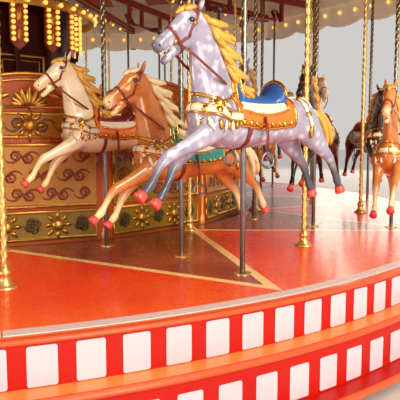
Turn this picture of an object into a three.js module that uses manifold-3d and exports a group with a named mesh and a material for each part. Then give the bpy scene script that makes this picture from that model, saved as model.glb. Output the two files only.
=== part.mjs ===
// A three-abreast galloping-horse roundabout, built as one scene graph. Millimetres, +Z up, origin on the
// ground at the centre of the ride. The horses face clockwise, seen from above.
import * as THREE from "three";
import { mergeVertices } from "three/addons/utils/BufferGeometryUtils.js";
import Module from "manifold-3d";

const wasm = await Module();
wasm.setup();

// Driving dimensions of the whole ride
const ROWS = 12;
const BAY = (2 * Math.PI) / ROWS;
const ROW_IN_BAY = 0.55;
const QUARTERS = 4;
const ROWS_PER_QUARTER = ROWS / QUARTERS;
const SEAT_GAP = 0.3;
const RUNNING_GAP = 6;

const DECK_TOP = 800;
const DECK_THICKNESS = 70;
const DECK_INNER_R = 3480;
const DECK_EDGE_R = 5900;
const STEP_BOARD = 30;
const STEP_RISE = 308;
const STEP_GOING = 130;
const STEP_NOSING = 20;
const STEP_TREAD = 48;
const ARC_STEPS_PER_ROW = 3;

const FRAME_Z = 4150;
const FRAME_DEPTH = 140;
const SWIFT_WIDTH = 120;
const RIM_CORNER_R = 6560;
const RIM_THICKNESS = 50;
const RIM_INNER_R = RIM_CORNER_R - RIM_THICKNESS;
const RIM_TOP = 4760;

const TILT_PEAK_R = 230;
const TILT_PEAK = 6850;
const TILT_SLOPE = Math.atan((TILT_PEAK - RIM_TOP) / (RIM_CORNER_R - TILT_PEAK_R));

const HANGER_R = 22;
const HANGER_OUTER_R = 4900;
const HANGER_INNER_R = 3590;
const HANGER_SHIFT = 36;

const CRANK_Z = 3850;
const THROW = 180;
const ARM_GAP = 50;
const ARM_THICKNESS = 16;
const ARM_WIDTH = 60;

const RIDE_R = { outer: 5250, middle: 4500, inner: 3750 };
const HORSE_SIZE = { outer: 1.0, middle: 0.93, inner: 0.86 };
const BARREL_ABOVE_DECK = { outer: 860, middle: 910, inner: 940 };
const ROD_R = 19;
const ROD_BELOW_DECK = 320;

const PANEL_R = 3380;
const PANEL_TOP = DECK_TOP + 1480;
const PANEL_ARCH = 160;
const PANEL_BAYS = 16;
const PANEL_START = (106.5 * Math.PI) / 180;

const FLOOR_TOP = 780;
const POLE_R = 150;

const paint = (color, roughness, metalness = 0) =>
  new THREE.MeshStandardMaterial({ color, roughness, metalness });
const deckRed = paint(0xd8381c, 0.25);
const stepRed = paint(0xe23a1a, 0.3);
const boardRed = paint(0xb5261a, 0.4);
const panelCream = paint(0xd9b56a, 0.5);
const frameMaroon = paint(0x6d1a14, 0.5);
const canvas = paint(0xe9dcc0, 0.9);
const gilt = paint(0xc9952e, 0.35, 0.6);
const timber = paint(0x6b4a2e, 0.8);
const steel = paint(0x8c9096, 0.4, 0.8);
const horseCoats = [
  paint(0xe8d7b0, 0.35),
  paint(0xa9a2b4, 0.35),
  paint(0xb86a32, 0.35),
  paint(0x2e1d1a, 0.35),
];
const COAT_STEP = { outer: 0, middle: 1, inner: 3 };

// Solids: a closed three.js geometry becomes a manifold solid for joining, and comes back as a geometry
function solid(geometry) {
  const source = geometry.index ? geometry.toNonIndexed() : geometry;
  const bare = new THREE.BufferGeometry();
  bare.setAttribute("position", source.getAttribute("position"));
  const merged = mergeVertices(bare, 1e-3);
  return new wasm.Manifold(
    new wasm.Mesh({
      numProp: 3,
      vertProperties: new Float32Array(merged.attributes.position.array),
      triVerts: new Uint32Array(merged.index.array),
    }),
  );
}

function toGeometry(whole) {
  const { vertProperties, triVerts, numProp, numVert } = whole.getMesh();
  const points = new Float32Array(numVert * 3);
  for (let i = 0; i < numVert; i++) {
    points.set(vertProperties.subarray(i * numProp, i * numProp + 3), i * 3);
  }
  const geometry = new THREE.BufferGeometry();
  geometry.setAttribute("position", new THREE.BufferAttribute(points, 3));
  geometry.setIndex(new THREE.BufferAttribute(new Uint32Array(triVerts), 1));
  return geometry;
}

const union = (geometries) => geometries.map(solid).reduce((sum, next) => sum.add(next));
const joined = (geometries) => toGeometry(union(geometries));

// What of a solid lies between two angles, less half a seat gap at each end
function slice(whole, from, to) {
  return whole
    .trimByPlane([-Math.sin(from), Math.cos(from), 0], SEAT_GAP / 2)
    .trimByPlane([Math.sin(to), -Math.cos(to), 0], SEAT_GAP / 2);
}

function piece(name, geometry, material) {
  const mesh = new THREE.Mesh(geometry, material);
  mesh.name = name;
  return mesh;
}

// A box from its low corner to its high corner
function block(low, high) {
  const size = high.map((value, i) => value - low[i]);
  const middle = high.map((value, i) => (value + low[i]) / 2);
  return new THREE.BoxGeometry(...size).translate(...middle);
}

function uprightCylinder(radius, bottom, top, sides) {
  return new THREE.CylinderGeometry(radius, radius, top - bottom, sides)
    .rotateX(Math.PI / 2)
    .translate(0, 0, (top + bottom) / 2);
}

// A ring about the ride's axis from a closed profile of [radius, height] points
function ring(profile, sides) {
  const points = [...profile, profile[0]].map(([r, z]) => new THREE.Vector2(r, z));
  return new THREE.LatheGeometry(points, sides).rotateX(Math.PI / 2);
}

// Part of a ring: the profile is swept round an arc at one fixed height
class LevelArc extends THREE.Curve {
  constructor(radius, from, to) {
    super();
    Object.assign(this, { radius, from, to });
  }
  getPoint(t, target = new THREE.Vector3()) {
    const angle = this.from + t * (this.to - this.from);
    return target.set(this.radius * Math.cos(angle), this.radius * Math.sin(angle), 0);
  }
  getTangent(t, target = new THREE.Vector3()) {
    const angle = this.from + t * (this.to - this.from);
    return target.set(-Math.sin(angle), Math.cos(angle), 0);
  }
}

function arcSweep(profile, from, to, steps) {
  const radius = profile[0][0];
  const outline = new THREE.Shape(
    profile.map(([r, z]) => new THREE.Vector2(-z, radius - r)),
  );
  return new THREE.ExtrudeGeometry(outline, {
    steps,
    extrudePath: new LevelArc(radius, from, to),
  });
}

const polar = (radius, angle) => [radius * Math.cos(angle), radius * Math.sin(angle)];

// The platform: four sections, each a quarter of the ring, with the holes that the horse rods run in and the
// six hanger rods that carry it from the frame overhead
const rowAngle = (row) => (row + ROW_IN_BAY) * BAY;

// The three throws of a crankshaft stand a third of a turn apart, and each row's shaft is a throw on from the last
const PHASES = [
  { name: "high", angle: (2 * Math.PI) / 3 },
  { name: "low", angle: (4 * Math.PI) / 3 },
  { name: "level", angle: 0 },
].map(({ name, angle }) => ({
  name,
  lift: THROW * Math.sin(angle),
  lead: THROW * Math.cos(angle),
}));
const RANKS = ["outer", "middle", "inner"];
const phaseOf = (rank, row) => PHASES[(RANKS.indexOf(rank) + row) % PHASES.length];

// Clockwise is forwards, so a throw that leads stands to the clockwise side of the row's line
function rodPlace(rank, row) {
  const angle = rowAngle(row);
  const [x, y] = polar(RIDE_R[rank], angle);
  const { lead } = phaseOf(rank, row);
  return [x + lead * Math.sin(angle), y - lead * Math.cos(angle)];
}

function arcPoints(radius, from, to, steps) {
  return Array.from({ length: steps + 1 }, (_, i) =>
    polar(radius, from + ((to - from) * i) / steps),
  );
}

const path = (points) => points.map(([x, y]) => new THREE.Vector2(x, y));

function deckSlab(from, to, rows) {
  const steps = rows.length * ARC_STEPS_PER_ROW;
  const edge = DECK_EDGE_R - STEP_BOARD - SEAT_GAP;
  const outline = new THREE.Shape(
    path([
      ...arcPoints(edge, from, to, steps),
      ...arcPoints(DECK_INNER_R, to, from, steps),
    ]),
  );
  const holeSides = 6;
  const holeR = (ROD_R + RUNNING_GAP) / Math.cos(Math.PI / holeSides);
  for (const row of rows) {
    for (const rank of RANKS) {
      const [x, y] = rodPlace(rank, row);
      const rim = arcPoints(holeR, 0, -2 * Math.PI, holeSides).slice(1);
      outline.holes.push(new THREE.Path(path(rim.map(([u, v]) => [x + u, y + v]))));
    }
  }
  return new THREE.ExtrudeGeometry(outline, {
    depth: DECK_THICKNESS,
    bevelEnabled: false,
  }).translate(0, 0, DECK_TOP - DECK_THICKNESS);
}

function hangerRod(radius, row) {
  const sides = 6;
  const embed = DECK_THICKNESS / 2;
  return uprightCylinder(HANGER_R, DECK_TOP - embed, FRAME_Z - SEAT_GAP, sides)
    .translate(radius, HANGER_SHIFT, 0)
    .rotateZ(row * BAY);
}

function platform(quarter) {
  const rows = Array.from(
    { length: ROWS_PER_QUARTER },
    (_, i) => quarter * ROWS_PER_QUARTER + i,
  );
  const endGap = SEAT_GAP / 2 / DECK_INNER_R;
  const from = rows[0] * BAY + endGap;
  const to = (rows[0] + ROWS_PER_QUARTER) * BAY - endGap;
  const rods = rows.flatMap((row) => [
    hangerRod(HANGER_OUTER_R, row),
    hangerRod(HANGER_INNER_R, row),
  ]);
  return joined([deckSlab(from, to, rows), ...rods]);
}

// The steps: two risers and two treads hung round the edge of the platform, in the same four sections
function steps(quarter) {
  const endGap = SEAT_GAP / 2 / DECK_EDGE_R;
  const from = quarter * ROWS_PER_QUARTER * BAY + endGap;
  const to = (quarter + 1) * ROWS_PER_QUARTER * BAY - endGap;
  const treadTop = [DECK_TOP - 244, DECK_TOP - 244 - STEP_RISE];
  const face = [DECK_EDGE_R, DECK_EDGE_R + STEP_GOING];
  const nose = face.map((r) => r + STEP_GOING + STEP_NOSING);
  const profile = [
    [face[0] - STEP_BOARD, DECK_TOP],
    [face[0], DECK_TOP],
    [face[0], treadTop[0]],
    [nose[0], treadTop[0]],
    [nose[0], treadTop[0] - STEP_TREAD],
    [face[1], treadTop[0] - STEP_TREAD],
    [face[1], treadTop[1]],
    [nose[1], treadTop[1]],
    [nose[1], treadTop[1] - STEP_TREAD],
    [face[1] - STEP_BOARD, treadTop[1] - STEP_TREAD],
    [face[1] - STEP_BOARD, treadTop[0] - STEP_TREAD],
    [face[0] - STEP_BOARD, treadTop[0] - STEP_TREAD],
  ];
  return arcSweep(profile, from, to, ROWS_PER_QUARTER * ARC_STEPS_PER_ROW);
}

// The horse: a barrel, neck and head in one tapering form, four stretched legs and a tail, on its rod.
// A tapering form runs through stations of [x, z, half width, half depth, slope in degrees]
function taper(stations, sides, y = 0) {
  const geometry = new THREE.CylinderGeometry(1, 1, 1, sides, stations.length - 1);
  const position = geometry.getAttribute("position");
  for (let i = 0; i < position.count; i++) {
    const along = Math.round((0.5 - position.getY(i)) * (stations.length - 1));
    const [x, z, width, depth, slope] = stations[along];
    const tilt = THREE.MathUtils.degToRad(slope);
    const side = position.getX(i) * width;
    const up = position.getZ(i) * depth;
    position.setXYZ(i, x - up * Math.sin(tilt), y + side, z + up * Math.cos(tilt));
  }
  return geometry;
}

const BODY = [
  [-640, 50, 70, 80, 0],
  [-470, 30, 152, 162, 0],
  [210, 5, 152, 166, 14],
  [315, 200, 98, 140, 66],
  [345, 420, 62, 98, 78],
  [385, 610, 54, 72, 40],
  [460, 595, 56, 84, -32],
  [640, 445, 42, 60, -42],
];
const FORE_LEGS = [
  {
    y: 85,
    stations: [[270, -10, 70, 110, -25], [675, -212, 38, 46, -38], [850, -430, 36, 42, -48]],
  },
  {
    y: -85,
    stations: [[265, -30, 70, 110, -40], [500, -275, 38, 46, -50], [635, -485, 36, 42, -55]],
  },
];
const HIND_LEGS = [
  {
    y: 80,
    stations: [[-470, 20, 74, 125, 220], [-690, -210, 42, 56, 230], [-850, -430, 38, 44, 230]],
  },
  {
    y: -80,
    stations: [[-460, 20, 74, 125, 235], [-620, -250, 42, 56, 240], [-740, -480, 38, 44, 240]],
  },
];
const TAIL = [[-600, 90, 40, 48, 225], [-790, -200, 34, 30, 240]];

function rod(rank, lift) {
  const sides = 4;
  const deck = -BARREL_ABOVE_DECK[rank];
  const low = deck - ROD_BELOW_DECK;
  const high = deck - DECK_TOP + CRANK_Z;
  const pinHalf = ARM_GAP - SEAT_GAP;
  const pin = 24;
  return [
    uprightCylinder(ROD_R, low, high, sides),
    block([-pin, -pinHalf, high - pin], [pin, pinHalf, high + pin]),
  ].map((geometry) => geometry.translate(0, 0, lift));
}

function horse(rank, row) {
  const { lift } = phaseOf(rank, row);
  const size = HORSE_SIZE[rank];
  const body = [
    taper(BODY, 6),
    ...[...FORE_LEGS, ...HIND_LEGS].map(({ stations, y }) => taper(stations, 3, y)),
    taper(TAIL, 3),
  ].map((geometry) => geometry.scale(size, size, size).translate(0, 0, lift));
  const mesh = piece(
    `horse_${rank}_${String(row + 1).padStart(2, "0")}`,
    joined([...body, ...rod(rank, lift)]),
    horseCoats[(row + COAT_STEP[rank]) % horseCoats.length],
  );
  const [x, y] = rodPlace(rank, row);
  mesh.position.set(x, y, DECK_TOP + BARREL_ABOVE_DECK[rank]);
  mesh.rotation.z = rowAngle(row) - Math.PI / 2;
  return mesh;
}

// The frame overhead: a hub that turns on the king pole, a swift over each platform joint, a beam over each row
// with that row's crankshaft hung below it, and the rafters
const tiltUnderside = (r) => RIM_TOP + SEAT_GAP + (RIM_CORNER_R - r) * Math.tan(TILT_SLOPE);

// How far out a beam of a given width reaches before it meets the inside of the rim at a corner
const endInRim = (width) => RIM_INNER_R - SEAT_GAP - (width / 2) * Math.tan(BAY / 2);

function radialBeam(angle, from, to, width, bottom, top) {
  return block([from, -width / 2, bottom], [to, width / 2, top]).rotateZ(angle);
}

function rafter(angle) {
  const depth = 80;
  const width = 60;
  const drop = depth / 2 / Math.cos(TILT_SLOPE) + (width / 2) * Math.tan(BAY / 2) * Math.tan(TILT_SLOPE);
  const foot = { r: endInRim(width) - (depth / 2) * Math.sin(TILT_SLOPE) };
  const head = { r: 190 };
  for (const end of [foot, head]) end.z = tiltUnderside(end.r) - drop - 2 * SEAT_GAP;
  const length = Math.hypot(head.r - foot.r, head.z - foot.z);
  return new THREE.BoxGeometry(length, width, depth)
    .rotateY(TILT_SLOPE)
    .translate((foot.r + head.r) / 2, 0, (foot.z + head.z) / 2)
    .rotateZ(angle);
}

// One row's beam with its crank hangers and shaft pieces, cut as a comb from one outline
function rowComb() {
  const half = 30;
  const clear = ARM_GAP + ARM_THICKNESS / 2;
  const shaft = { low: CRANK_Z - 22, high: CRANK_Z + 22 };
  const beam = { low: FRAME_Z + 5, high: FRAME_Z + FRAME_DEPTH - 10 };
  const from = 400;
  const offMiddle = (ROW_IN_BAY - 0.5) * BAY;
  const inside = RIM_INNER_R * Math.cos(BAY / 2) - SEAT_GAP;
  const to = (inside - half * Math.sin(offMiddle)) / Math.cos(offMiddle);
  const end = (side, r) => {
    const [near, far] = side < 0 ? [r - 2 * half, r] : [r, r + 2 * half];
    return [[near, beam.low], [near, shaft.low], [far, shaft.low], [far, beam.low]];
  };
  const between = (near, far) => {
    const middle = (near + far) / 2;
    return [
      [middle - half, beam.low],
      [middle - half, shaft.high],
      [near, shaft.high],
      [near, shaft.low],
      [far, shaft.low],
      [far, shaft.high],
      [middle + half, shaft.high],
      [middle + half, beam.low],
    ];
  };
  const outline = new THREE.Shape(
    path([
      [from, beam.low],
      ...end(-1, RIDE_R.inner - clear),
      ...between(RIDE_R.inner + clear, RIDE_R.middle - clear),
      ...between(RIDE_R.middle + clear, RIDE_R.outer - clear),
      ...end(1, RIDE_R.outer + clear),
      [to, beam.low],
      [to, beam.high],
      [from, beam.high],
    ]),
  );
  return new THREE.ExtrudeGeometry(outline, { depth: 2 * half, bevelEnabled: false })
    .rotateX(Math.PI / 2)
    .translate(0, half, 0);
}

function crankArms(row) {
  const pieces = [];
  for (const rank of RANKS) {
    const { lift, lead } = phaseOf(rank, row);
    const reach = Math.hypot(lift, lead) + ARM_WIDTH / 2;
    for (const side of [-1, 1]) {
      const faces = [ARM_GAP, ARM_GAP + ARM_THICKNESS].map((x) => RIDE_R[rank] + side * x);
      const arm = block(
        [Math.min(...faces), -ARM_WIDTH / 2, -ARM_WIDTH / 2],
        [Math.max(...faces), reach, ARM_WIDTH / 2],
      );
      pieces.push(arm.rotateX(Math.atan2(lift, -lead)).translate(0, 0, CRANK_Z));
    }
  }
  return pieces;
}

function overheadFrame() {
  const top = FRAME_Z + FRAME_DEPTH;
  const hubR = 430;
  const tubeR = 205;
  const boreR = POLE_R + 18;
  const hub = ring(
    [
      [boreR, FRAME_Z + 0.5],
      [hubR, FRAME_Z + 0.5],
      [hubR, top + 60],
      [tubeR, top + 60],
      [tubeR, 6880],
      [boreR, 6880],
    ],
    ROWS,
  );
  const pieces = [hub];
  for (let row = 0; row < ROWS; row++) {
    const joint = row * BAY;
    pieces.push(radialBeam(joint, 400, endInRim(SWIFT_WIDTH), SWIFT_WIDTH, FRAME_Z, top));
    pieces.push(rafter(joint));
    for (const geometry of [rowComb(), ...crankArms(row)]) {
      pieces.push(geometry.rotateZ(rowAngle(row)));
    }
  }
  return joined(pieces);
}

// The rim: a twelve-sided ring of boards round the ends of the swifts, rafters and row beams
function rim() {
  return ring(
    [
      [RIM_INNER_R, FRAME_Z + 10],
      [RIM_CORNER_R, FRAME_Z + 10],
      [RIM_CORNER_R, RIM_TOP],
      [RIM_INNER_R, RIM_TOP],
    ],
    ROWS,
  );
}

// The rounding boards: twelve flat boards with a scalloped foot and an arched crest, hung on the rim
function roundingBoard(joint) {
  const cornerR = RIM_CORNER_R + SEAT_GAP / Math.cos(BAY / 2);
  const half = (cornerR + 20) * Math.sin(BAY / 2);
  const bottom = 3760;
  const shoulder = 4790;
  const crest = 5060;
  const scallops = 4;
  const outline = new THREE.Shape();
  outline.moveTo(-half, bottom + 90);
  for (let i = 0; i < scallops; i++) {
    const from = -half + (2 * half * i) / scallops;
    const to = -half + (2 * half * (i + 1)) / scallops;
    outline.quadraticCurveTo((from + to) / 2, bottom - 90, to, bottom + 90);
  }
  outline.lineTo(half, shoulder);
  outline.lineTo(half * 0.55, shoulder);
  outline.quadraticCurveTo(0, 2 * crest - shoulder, -half * 0.55, shoulder);
  outline.lineTo(-half, shoulder);
  return new THREE.ExtrudeGeometry(outline, {
    depth: 40,
    bevelEnabled: false,
    curveSegments: 3,
  })
    .rotateX(Math.PI / 2)
    .rotateZ(Math.PI / 2)
    .translate(cornerR * Math.cos(BAY / 2), 0, 0)
    .rotateZ(joint + BAY / 2);
}

function roundingBoards(quarter) {
  const first = quarter * ROWS_PER_QUARTER;
  const corners = Array.from({ length: ROWS_PER_QUARTER + 1 }, (_, i) => (first + i) * BAY);
  const pilasters = corners.map((angle) =>
    block([RIM_CORNER_R + 2 * SEAT_GAP, -60, 3800], [RIM_CORNER_R + 84, 60, 4900]).rotateZ(angle),
  );
  const whole = union([...corners.slice(0, -1).map(roundingBoard), ...pilasters]);
  return toGeometry(slice(whole, corners[0], corners[ROWS_PER_QUARTER]));
}

// The tilt: a twelve-sided canvas roof from the rim up to the crown
function tilt() {
  const cloth = 25;
  const lip = 40;
  return ring(
    [
      [RIM_CORNER_R - lip, tiltUnderside(RIM_CORNER_R - lip)],
      [RIM_CORNER_R, tiltUnderside(RIM_CORNER_R)],
      [RIM_CORNER_R, tiltUnderside(RIM_CORNER_R) + cloth],
      [TILT_PEAK_R, tiltUnderside(TILT_PEAK_R) + cloth],
      [TILT_PEAK_R, tiltUnderside(TILT_PEAK_R)],
    ],
    ROWS,
  );
}

function crown() {
  const seat = 6880 + SEAT_GAP;
  const profile = [
    [0, seat],
    [460, seat],
    [500, seat + 260],
    [330, seat + 330],
    [120, seat + 640],
    [60, seat + 700],
    [90, seat + 790],
    [0, seat + 900],
  ].map(([r, z]) => new THREE.Vector2(r, z));
  return new THREE.LatheGeometry(profile, ROWS).rotateX(Math.PI / 2);
}

// The centre: a timber base, a round floor, the king pole, the lit case round it and the ring of panels
function kingPole() {
  const collar = uprightCylinder(300, FRAME_Z - 90, FRAME_Z, ROWS);
  return joined([uprightCylinder(POLE_R, FLOOR_TOP + SEAT_GAP, 6700, ROWS), collar]);
}

function centreCase() {
  const sides = 8;
  const bore = (POLE_R + 0.5) / Math.cos(Math.PI / sides);
  const low = FLOOR_TOP + SEAT_GAP;
  return ring(
    [
      [bore, low],
      [1150, low],
      [1150, low + 180],
      [1040, low + 220],
      [1040, low + 2500],
      [1160, low + 2580],
      [1160, low + 2700],
      [bore, low + 2700],
    ],
    sides,
  );
}

function panelRing(quarter) {
  const bay = (2 * Math.PI) / PANEL_BAYS;
  const bays = quarter === QUARTERS - 1 ? 3 : 4;
  const from = PANEL_START + quarter * 4 * bay;
  const half = PANEL_R * Math.sin(bay / 2);
  const flat = PANEL_R * Math.cos(bay / 2);
  const postHalf = 45;
  const low = FLOOR_TOP + SEAT_GAP;
  const outline = new THREE.Shape();
  outline.moveTo(-half, low);
  outline.lineTo(half, low);
  outline.lineTo(half, PANEL_TOP - PANEL_ARCH);
  outline.quadraticCurveTo(0, PANEL_TOP + PANEL_ARCH, -half, PANEL_TOP - PANEL_ARCH);
  const panel = () =>
    new THREE.ExtrudeGeometry(outline, { depth: 50, bevelEnabled: false, curveSegments: 6 })
      .rotateX(Math.PI / 2)
      .rotateZ(Math.PI / 2)
      .translate(flat - 50, 0, 0);
  const post = () =>
    block([PANEL_R - 80, -postHalf, low], [PANEL_R + 10, postHalf, PANEL_TOP - PANEL_ARCH + 90]);
  const pieces = [];
  for (let i = 0; i < bays; i++) pieces.push(panel().rotateZ(from + (i + 0.5) * bay));
  for (let i = 0; i <= bays; i++) pieces.push(post().rotateZ(from + i * bay));
  return toGeometry(slice(union(pieces), from, from + bays * bay));
}

function centreFloor() {
  const sides = 24;
  return uprightCylinder(3440, FLOOR_TOP - 80, FLOOR_TOP, sides);
}

function centreBase() {
  const beam = 150;
  const reach = 3300;
  const top = FLOOR_TOP - 80 - SEAT_GAP;
  const pieces = [
    block([-reach, -beam, 0], [reach, beam, 260]),
    block([-beam, -reach, 0], [beam, reach, 260]),
  ];
  for (let i = 0; i < 4; i++) {
    for (const r of [3000, 1500]) {
      pieces.push(block([r - 120, -120, 200], [r + 120, 120, top]).rotateZ((i * Math.PI) / 2));
    }
  }
  pieces.push(block([-260, -260, 200], [260, 260, top]));
  return joined(pieces);
}

const carousel = new THREE.Group();
carousel.add(piece("centre_base", centreBase(), timber));
carousel.add(piece("centre_floor", centreFloor(), timber));
carousel.add(piece("king_pole", kingPole(), steel));
carousel.add(piece("centre_case", centreCase(), gilt));
carousel.add(piece("overhead_frame", overheadFrame(), frameMaroon));
carousel.add(piece("rim", rim(), frameMaroon));
carousel.add(piece("tilt", tilt(), canvas));
carousel.add(piece("crown", crown(), gilt));
for (let quarter = 0; quarter < QUARTERS; quarter++) {
  const number = quarter + 1;
  carousel.add(piece(`platform_${number}`, platform(quarter), deckRed));
  carousel.add(piece(`steps_${number}`, steps(quarter), stepRed));
  carousel.add(piece(`rounding_boards_${number}`, roundingBoards(quarter), boardRed));
  carousel.add(piece(`centre_panels_${number}`, panelRing(quarter), panelCream));
}
for (let row = 0; row < ROWS; row++) {
  for (const rank of RANKS) carousel.add(horse(rank, row));
}

export default carousel;
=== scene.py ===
"""A full-size three-abreast galloping-horse roundabout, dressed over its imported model. Metres, +Z up."""

import random
from math import atan2, cos, exp, pi, radians, sin, tau

import bmesh
import bpy
import numpy as np
from mathutils import Matrix, Vector
from mathutils.bvhtree import BVHTree
from mathutils.geometry import tessellate_polygon


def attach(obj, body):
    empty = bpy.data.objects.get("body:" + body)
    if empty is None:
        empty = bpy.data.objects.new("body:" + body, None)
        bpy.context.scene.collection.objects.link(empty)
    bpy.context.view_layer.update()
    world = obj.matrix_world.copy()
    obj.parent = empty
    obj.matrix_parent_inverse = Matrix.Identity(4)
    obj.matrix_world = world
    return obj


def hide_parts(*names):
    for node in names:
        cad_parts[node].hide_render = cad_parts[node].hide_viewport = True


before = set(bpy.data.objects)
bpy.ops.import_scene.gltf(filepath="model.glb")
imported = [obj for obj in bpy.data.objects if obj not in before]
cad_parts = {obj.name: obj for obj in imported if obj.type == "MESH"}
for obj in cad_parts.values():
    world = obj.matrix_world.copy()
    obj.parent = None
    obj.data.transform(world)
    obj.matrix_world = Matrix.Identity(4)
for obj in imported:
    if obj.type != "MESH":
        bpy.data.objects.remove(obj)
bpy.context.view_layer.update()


# Camera and studio
# The picture was taken standing just outside the steps, looking slightly down and across the platform.
EYE = Vector((-0.015, -8.72, 1.735))
HEADING = radians(70.9)
PITCH = radians(6.07)
camera_data = bpy.data.cameras.new("camera")
camera_data.lens = 54
camera_data.sensor_width = 36


def put_in_scene(name, data):
    thing = bpy.data.objects.new(name, data)
    bpy.context.scene.collection.objects.link(thing)
    return thing


camera = put_in_scene("camera", camera_data)
gaze = Vector((cos(HEADING) * cos(PITCH), sin(HEADING) * cos(PITCH), -sin(PITCH)))
camera.location = EYE
camera.rotation_euler = gaze.to_track_quat("-Z", "Y").to_euler()
bpy.context.scene.camera = camera
# The picture's reds are as strong as the paint's own, so colours are shown as they are.
bpy.context.scene.view_settings.view_transform = "Standard"


def linear(code):
    """An sRGB hex colour as the linear values that a shader takes."""
    parts = [int(code[i : i + 2], 16) / 255 for i in (1, 3, 5)]
    return tuple(c / 12.92 if c <= 0.04045 else ((c + 0.055) / 1.055) ** 2.4 for c in parts) + (1.0,)


def add(tree, kind, *values, **named):
    """One node. Values in order and names with a capital feed its inputs, and other names are its settings.
    An input is a value, a hex colour, a socket, a node whose first output feeds it, or a list of those."""
    families = ("GeometryNode", "ShaderNode", "Node")[tree.type != "GEOMETRY" :]
    node = tree.nodes.new(next(f + kind for f in families if hasattr(bpy.types, f + kind)))
    inputs = list(enumerate(values))
    for name, value in named.items():
        if name[0].isupper():
            inputs.append((name.replace("_", " "), value))
        else:
            setattr(node, name, value)
    for key, value in inputs:
        socket = next(s for i, s in enumerate(node.inputs) if key in (s.name, i) and s.enabled)
        for source in value if isinstance(value, list) else [value]:
            if isinstance(source, bpy.types.Node):
                source = next(s for s in source.outputs if s.enabled)
            if isinstance(source, bpy.types.NodeSocket):
                tree.links.new(source, socket)
            else:
                socket.default_value = linear(source) if str(source).startswith("#") else source
    return node


def begin_material(name):
    """A new material, its tree, and the place on the object that its patterns read."""
    material = bpy.data.materials.new(name)
    material.use_nodes = True
    tree = material.node_tree
    tree.nodes.clear()
    return material, tree, add(tree, "TexCoord").outputs["Object"]


def end_material(tree, **looks):
    """Closes a material with its shader, given as the shader's inputs."""
    add(tree, "OutputMaterial", Surface=add(tree, "BsdfPrincipled", **looks))


def mesh_data(name, vertices, faces=()):
    data = bpy.data.meshes.new(name)
    data.from_pydata([tuple(v) for v in vertices], [], faces)
    return data


def mesh_piece(name, vertices, faces, materials, slots=None, smooth=True):
    """A mesh object at the origin, with a slot for each of its materials."""
    data = mesh_data(name, vertices, faces)
    for material in materials:
        data.materials.append(material)
    if slots is not None:
        data.polygons.foreach_set("material_index", slots)
    data.polygons.foreach_set("use_smooth", [smooth] * len(faces))
    data.validate()
    return put_in_scene(name, data)


# Floor: matt pale studio paper, a little uneven so that it doesn't look flat.
paper, tree, place = begin_material("studio_paper")
speckle = add(tree, "TexNoise", Scale=0.6, Detail=3.0)
tone = add(tree, "Mix", Factor=speckle, A="#d9d6d0", B="#e4e1dc", data_type="RGBA")
end_material(tree, Base_Color=tone, Roughness=0.9)
REACH = 60
floor = mesh_piece(
    "studio_floor", [(-REACH, -REACH, 0), (REACH, -REACH, 0), (REACH, REACH, 0), (-REACH, REACH, 0)],
    [(0, 1, 2, 3)], [paper]
)


# Lights: an even sky, a soft high key from the camera's right, and a low front light that reaches in under
# the rounding boards, with a fill from the left and one from behind that shines along the platform.
world = bpy.data.worlds.new("studio")
bpy.context.scene.world = world
world.use_nodes = True
world.node_tree.nodes["Background"].inputs["Color"].default_value = linear("#f3f1ee")
world.node_tree.nodes["Background"].inputs["Strength"].default_value = 0.7


def area_light(name, place, target, size, power, colour):
    data = bpy.data.lights.new(name, "AREA")
    data.shape = "SQUARE"
    data.size = size
    data.energy = power
    data.color = linear(colour)[:3]
    light = put_in_scene(name, data)
    light.location = place
    light.rotation_euler = (Vector(target) - Vector(place)).to_track_quat("-Z", "Y").to_euler()


area_light("key", (7.0, -21.0, 14.5), (0, -3, 1.2), 9.0, 4600, "#fff0dc")
area_light("front", (5.0, -21.0, 3.3), (0, -1, 2.4), 6.0, 1000, "#fff3e2")
area_light("fill", (-18.0, -10.0, 3.3), (0, 0, 2.4), 6.0, 1500, "#fff3e2")
area_light("back", (19.0, 15.5, 7.0), (0, 0, 1.8), 10.0, 700, "#fff2dc")


# Base beams and floor of the centre
# Sawn pitch pine beams laid crosswise on the ground carry posts, the king pole's step and a boarded floor.
# They stay as the model has them, with streaks of grain and a slow change of tone.
def wood_material(name, light, dark, grain=(1.2, 14.0, 14.0)):
    """Sawn or worn boards: long streaks of grain with a slow change of tone."""
    material, tree, place = begin_material(name)
    stretch = add(tree, "Mapping", Vector=place, Scale=grain)
    streaks = add(tree, "TexNoise", Vector=stretch, Scale=3.0, Detail=8.0, Roughness=0.65)
    patches = add(tree, "TexNoise", Vector=place, Scale=1.3, Detail=2.0)
    blend = add(tree, "Math", streaks, patches, operation="MULTIPLY")
    spread = add(tree, "MapRange", Value=blend, From_Min=0.15, From_Max=0.36)
    tone = add(tree, "Mix", Factor=spread, A=dark, B=light, data_type="RGBA")
    bump = add(tree, "Bump", Height=streaks, Strength=0.4, Distance=0.004)
    end_material(tree, Base_Color=tone, Roughness=0.75, Normal=bump)
    return material


beam_pine = wood_material("sawn_pitch_pine", "#8a6a48", "#4a3523")
floor_pine = wood_material("worn_floor_boards", "#7d6650", "#43342a", grain=(1.0, 7.0, 1.0))


def finish_node(node, material):
    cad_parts[node].data.materials.clear()
    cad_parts[node].data.materials.append(material)


def fit(piece, body, slot, *nodes):
    """Fixes a piece to the body that carries it and hides the nodes it stands for. Its slot is not used."""
    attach(piece, body)
    for node in nodes:
        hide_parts(node)
    return piece


finish_node("centre_base", beam_pine)
finish_node("centre_floor", floor_pine)


# Platform
# Twelve boarded sections bolted edge to edge, painted in gloss with a star of dark wedges, one to each row
# of horses and outlined in cream. The paint is scuffed where people step.
ROWS = 12
BAY = radians(30)
ROW_IN_BAY = 0.55
DECK_TOP = 0.8
DECK_THICK = 0.07
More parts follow.
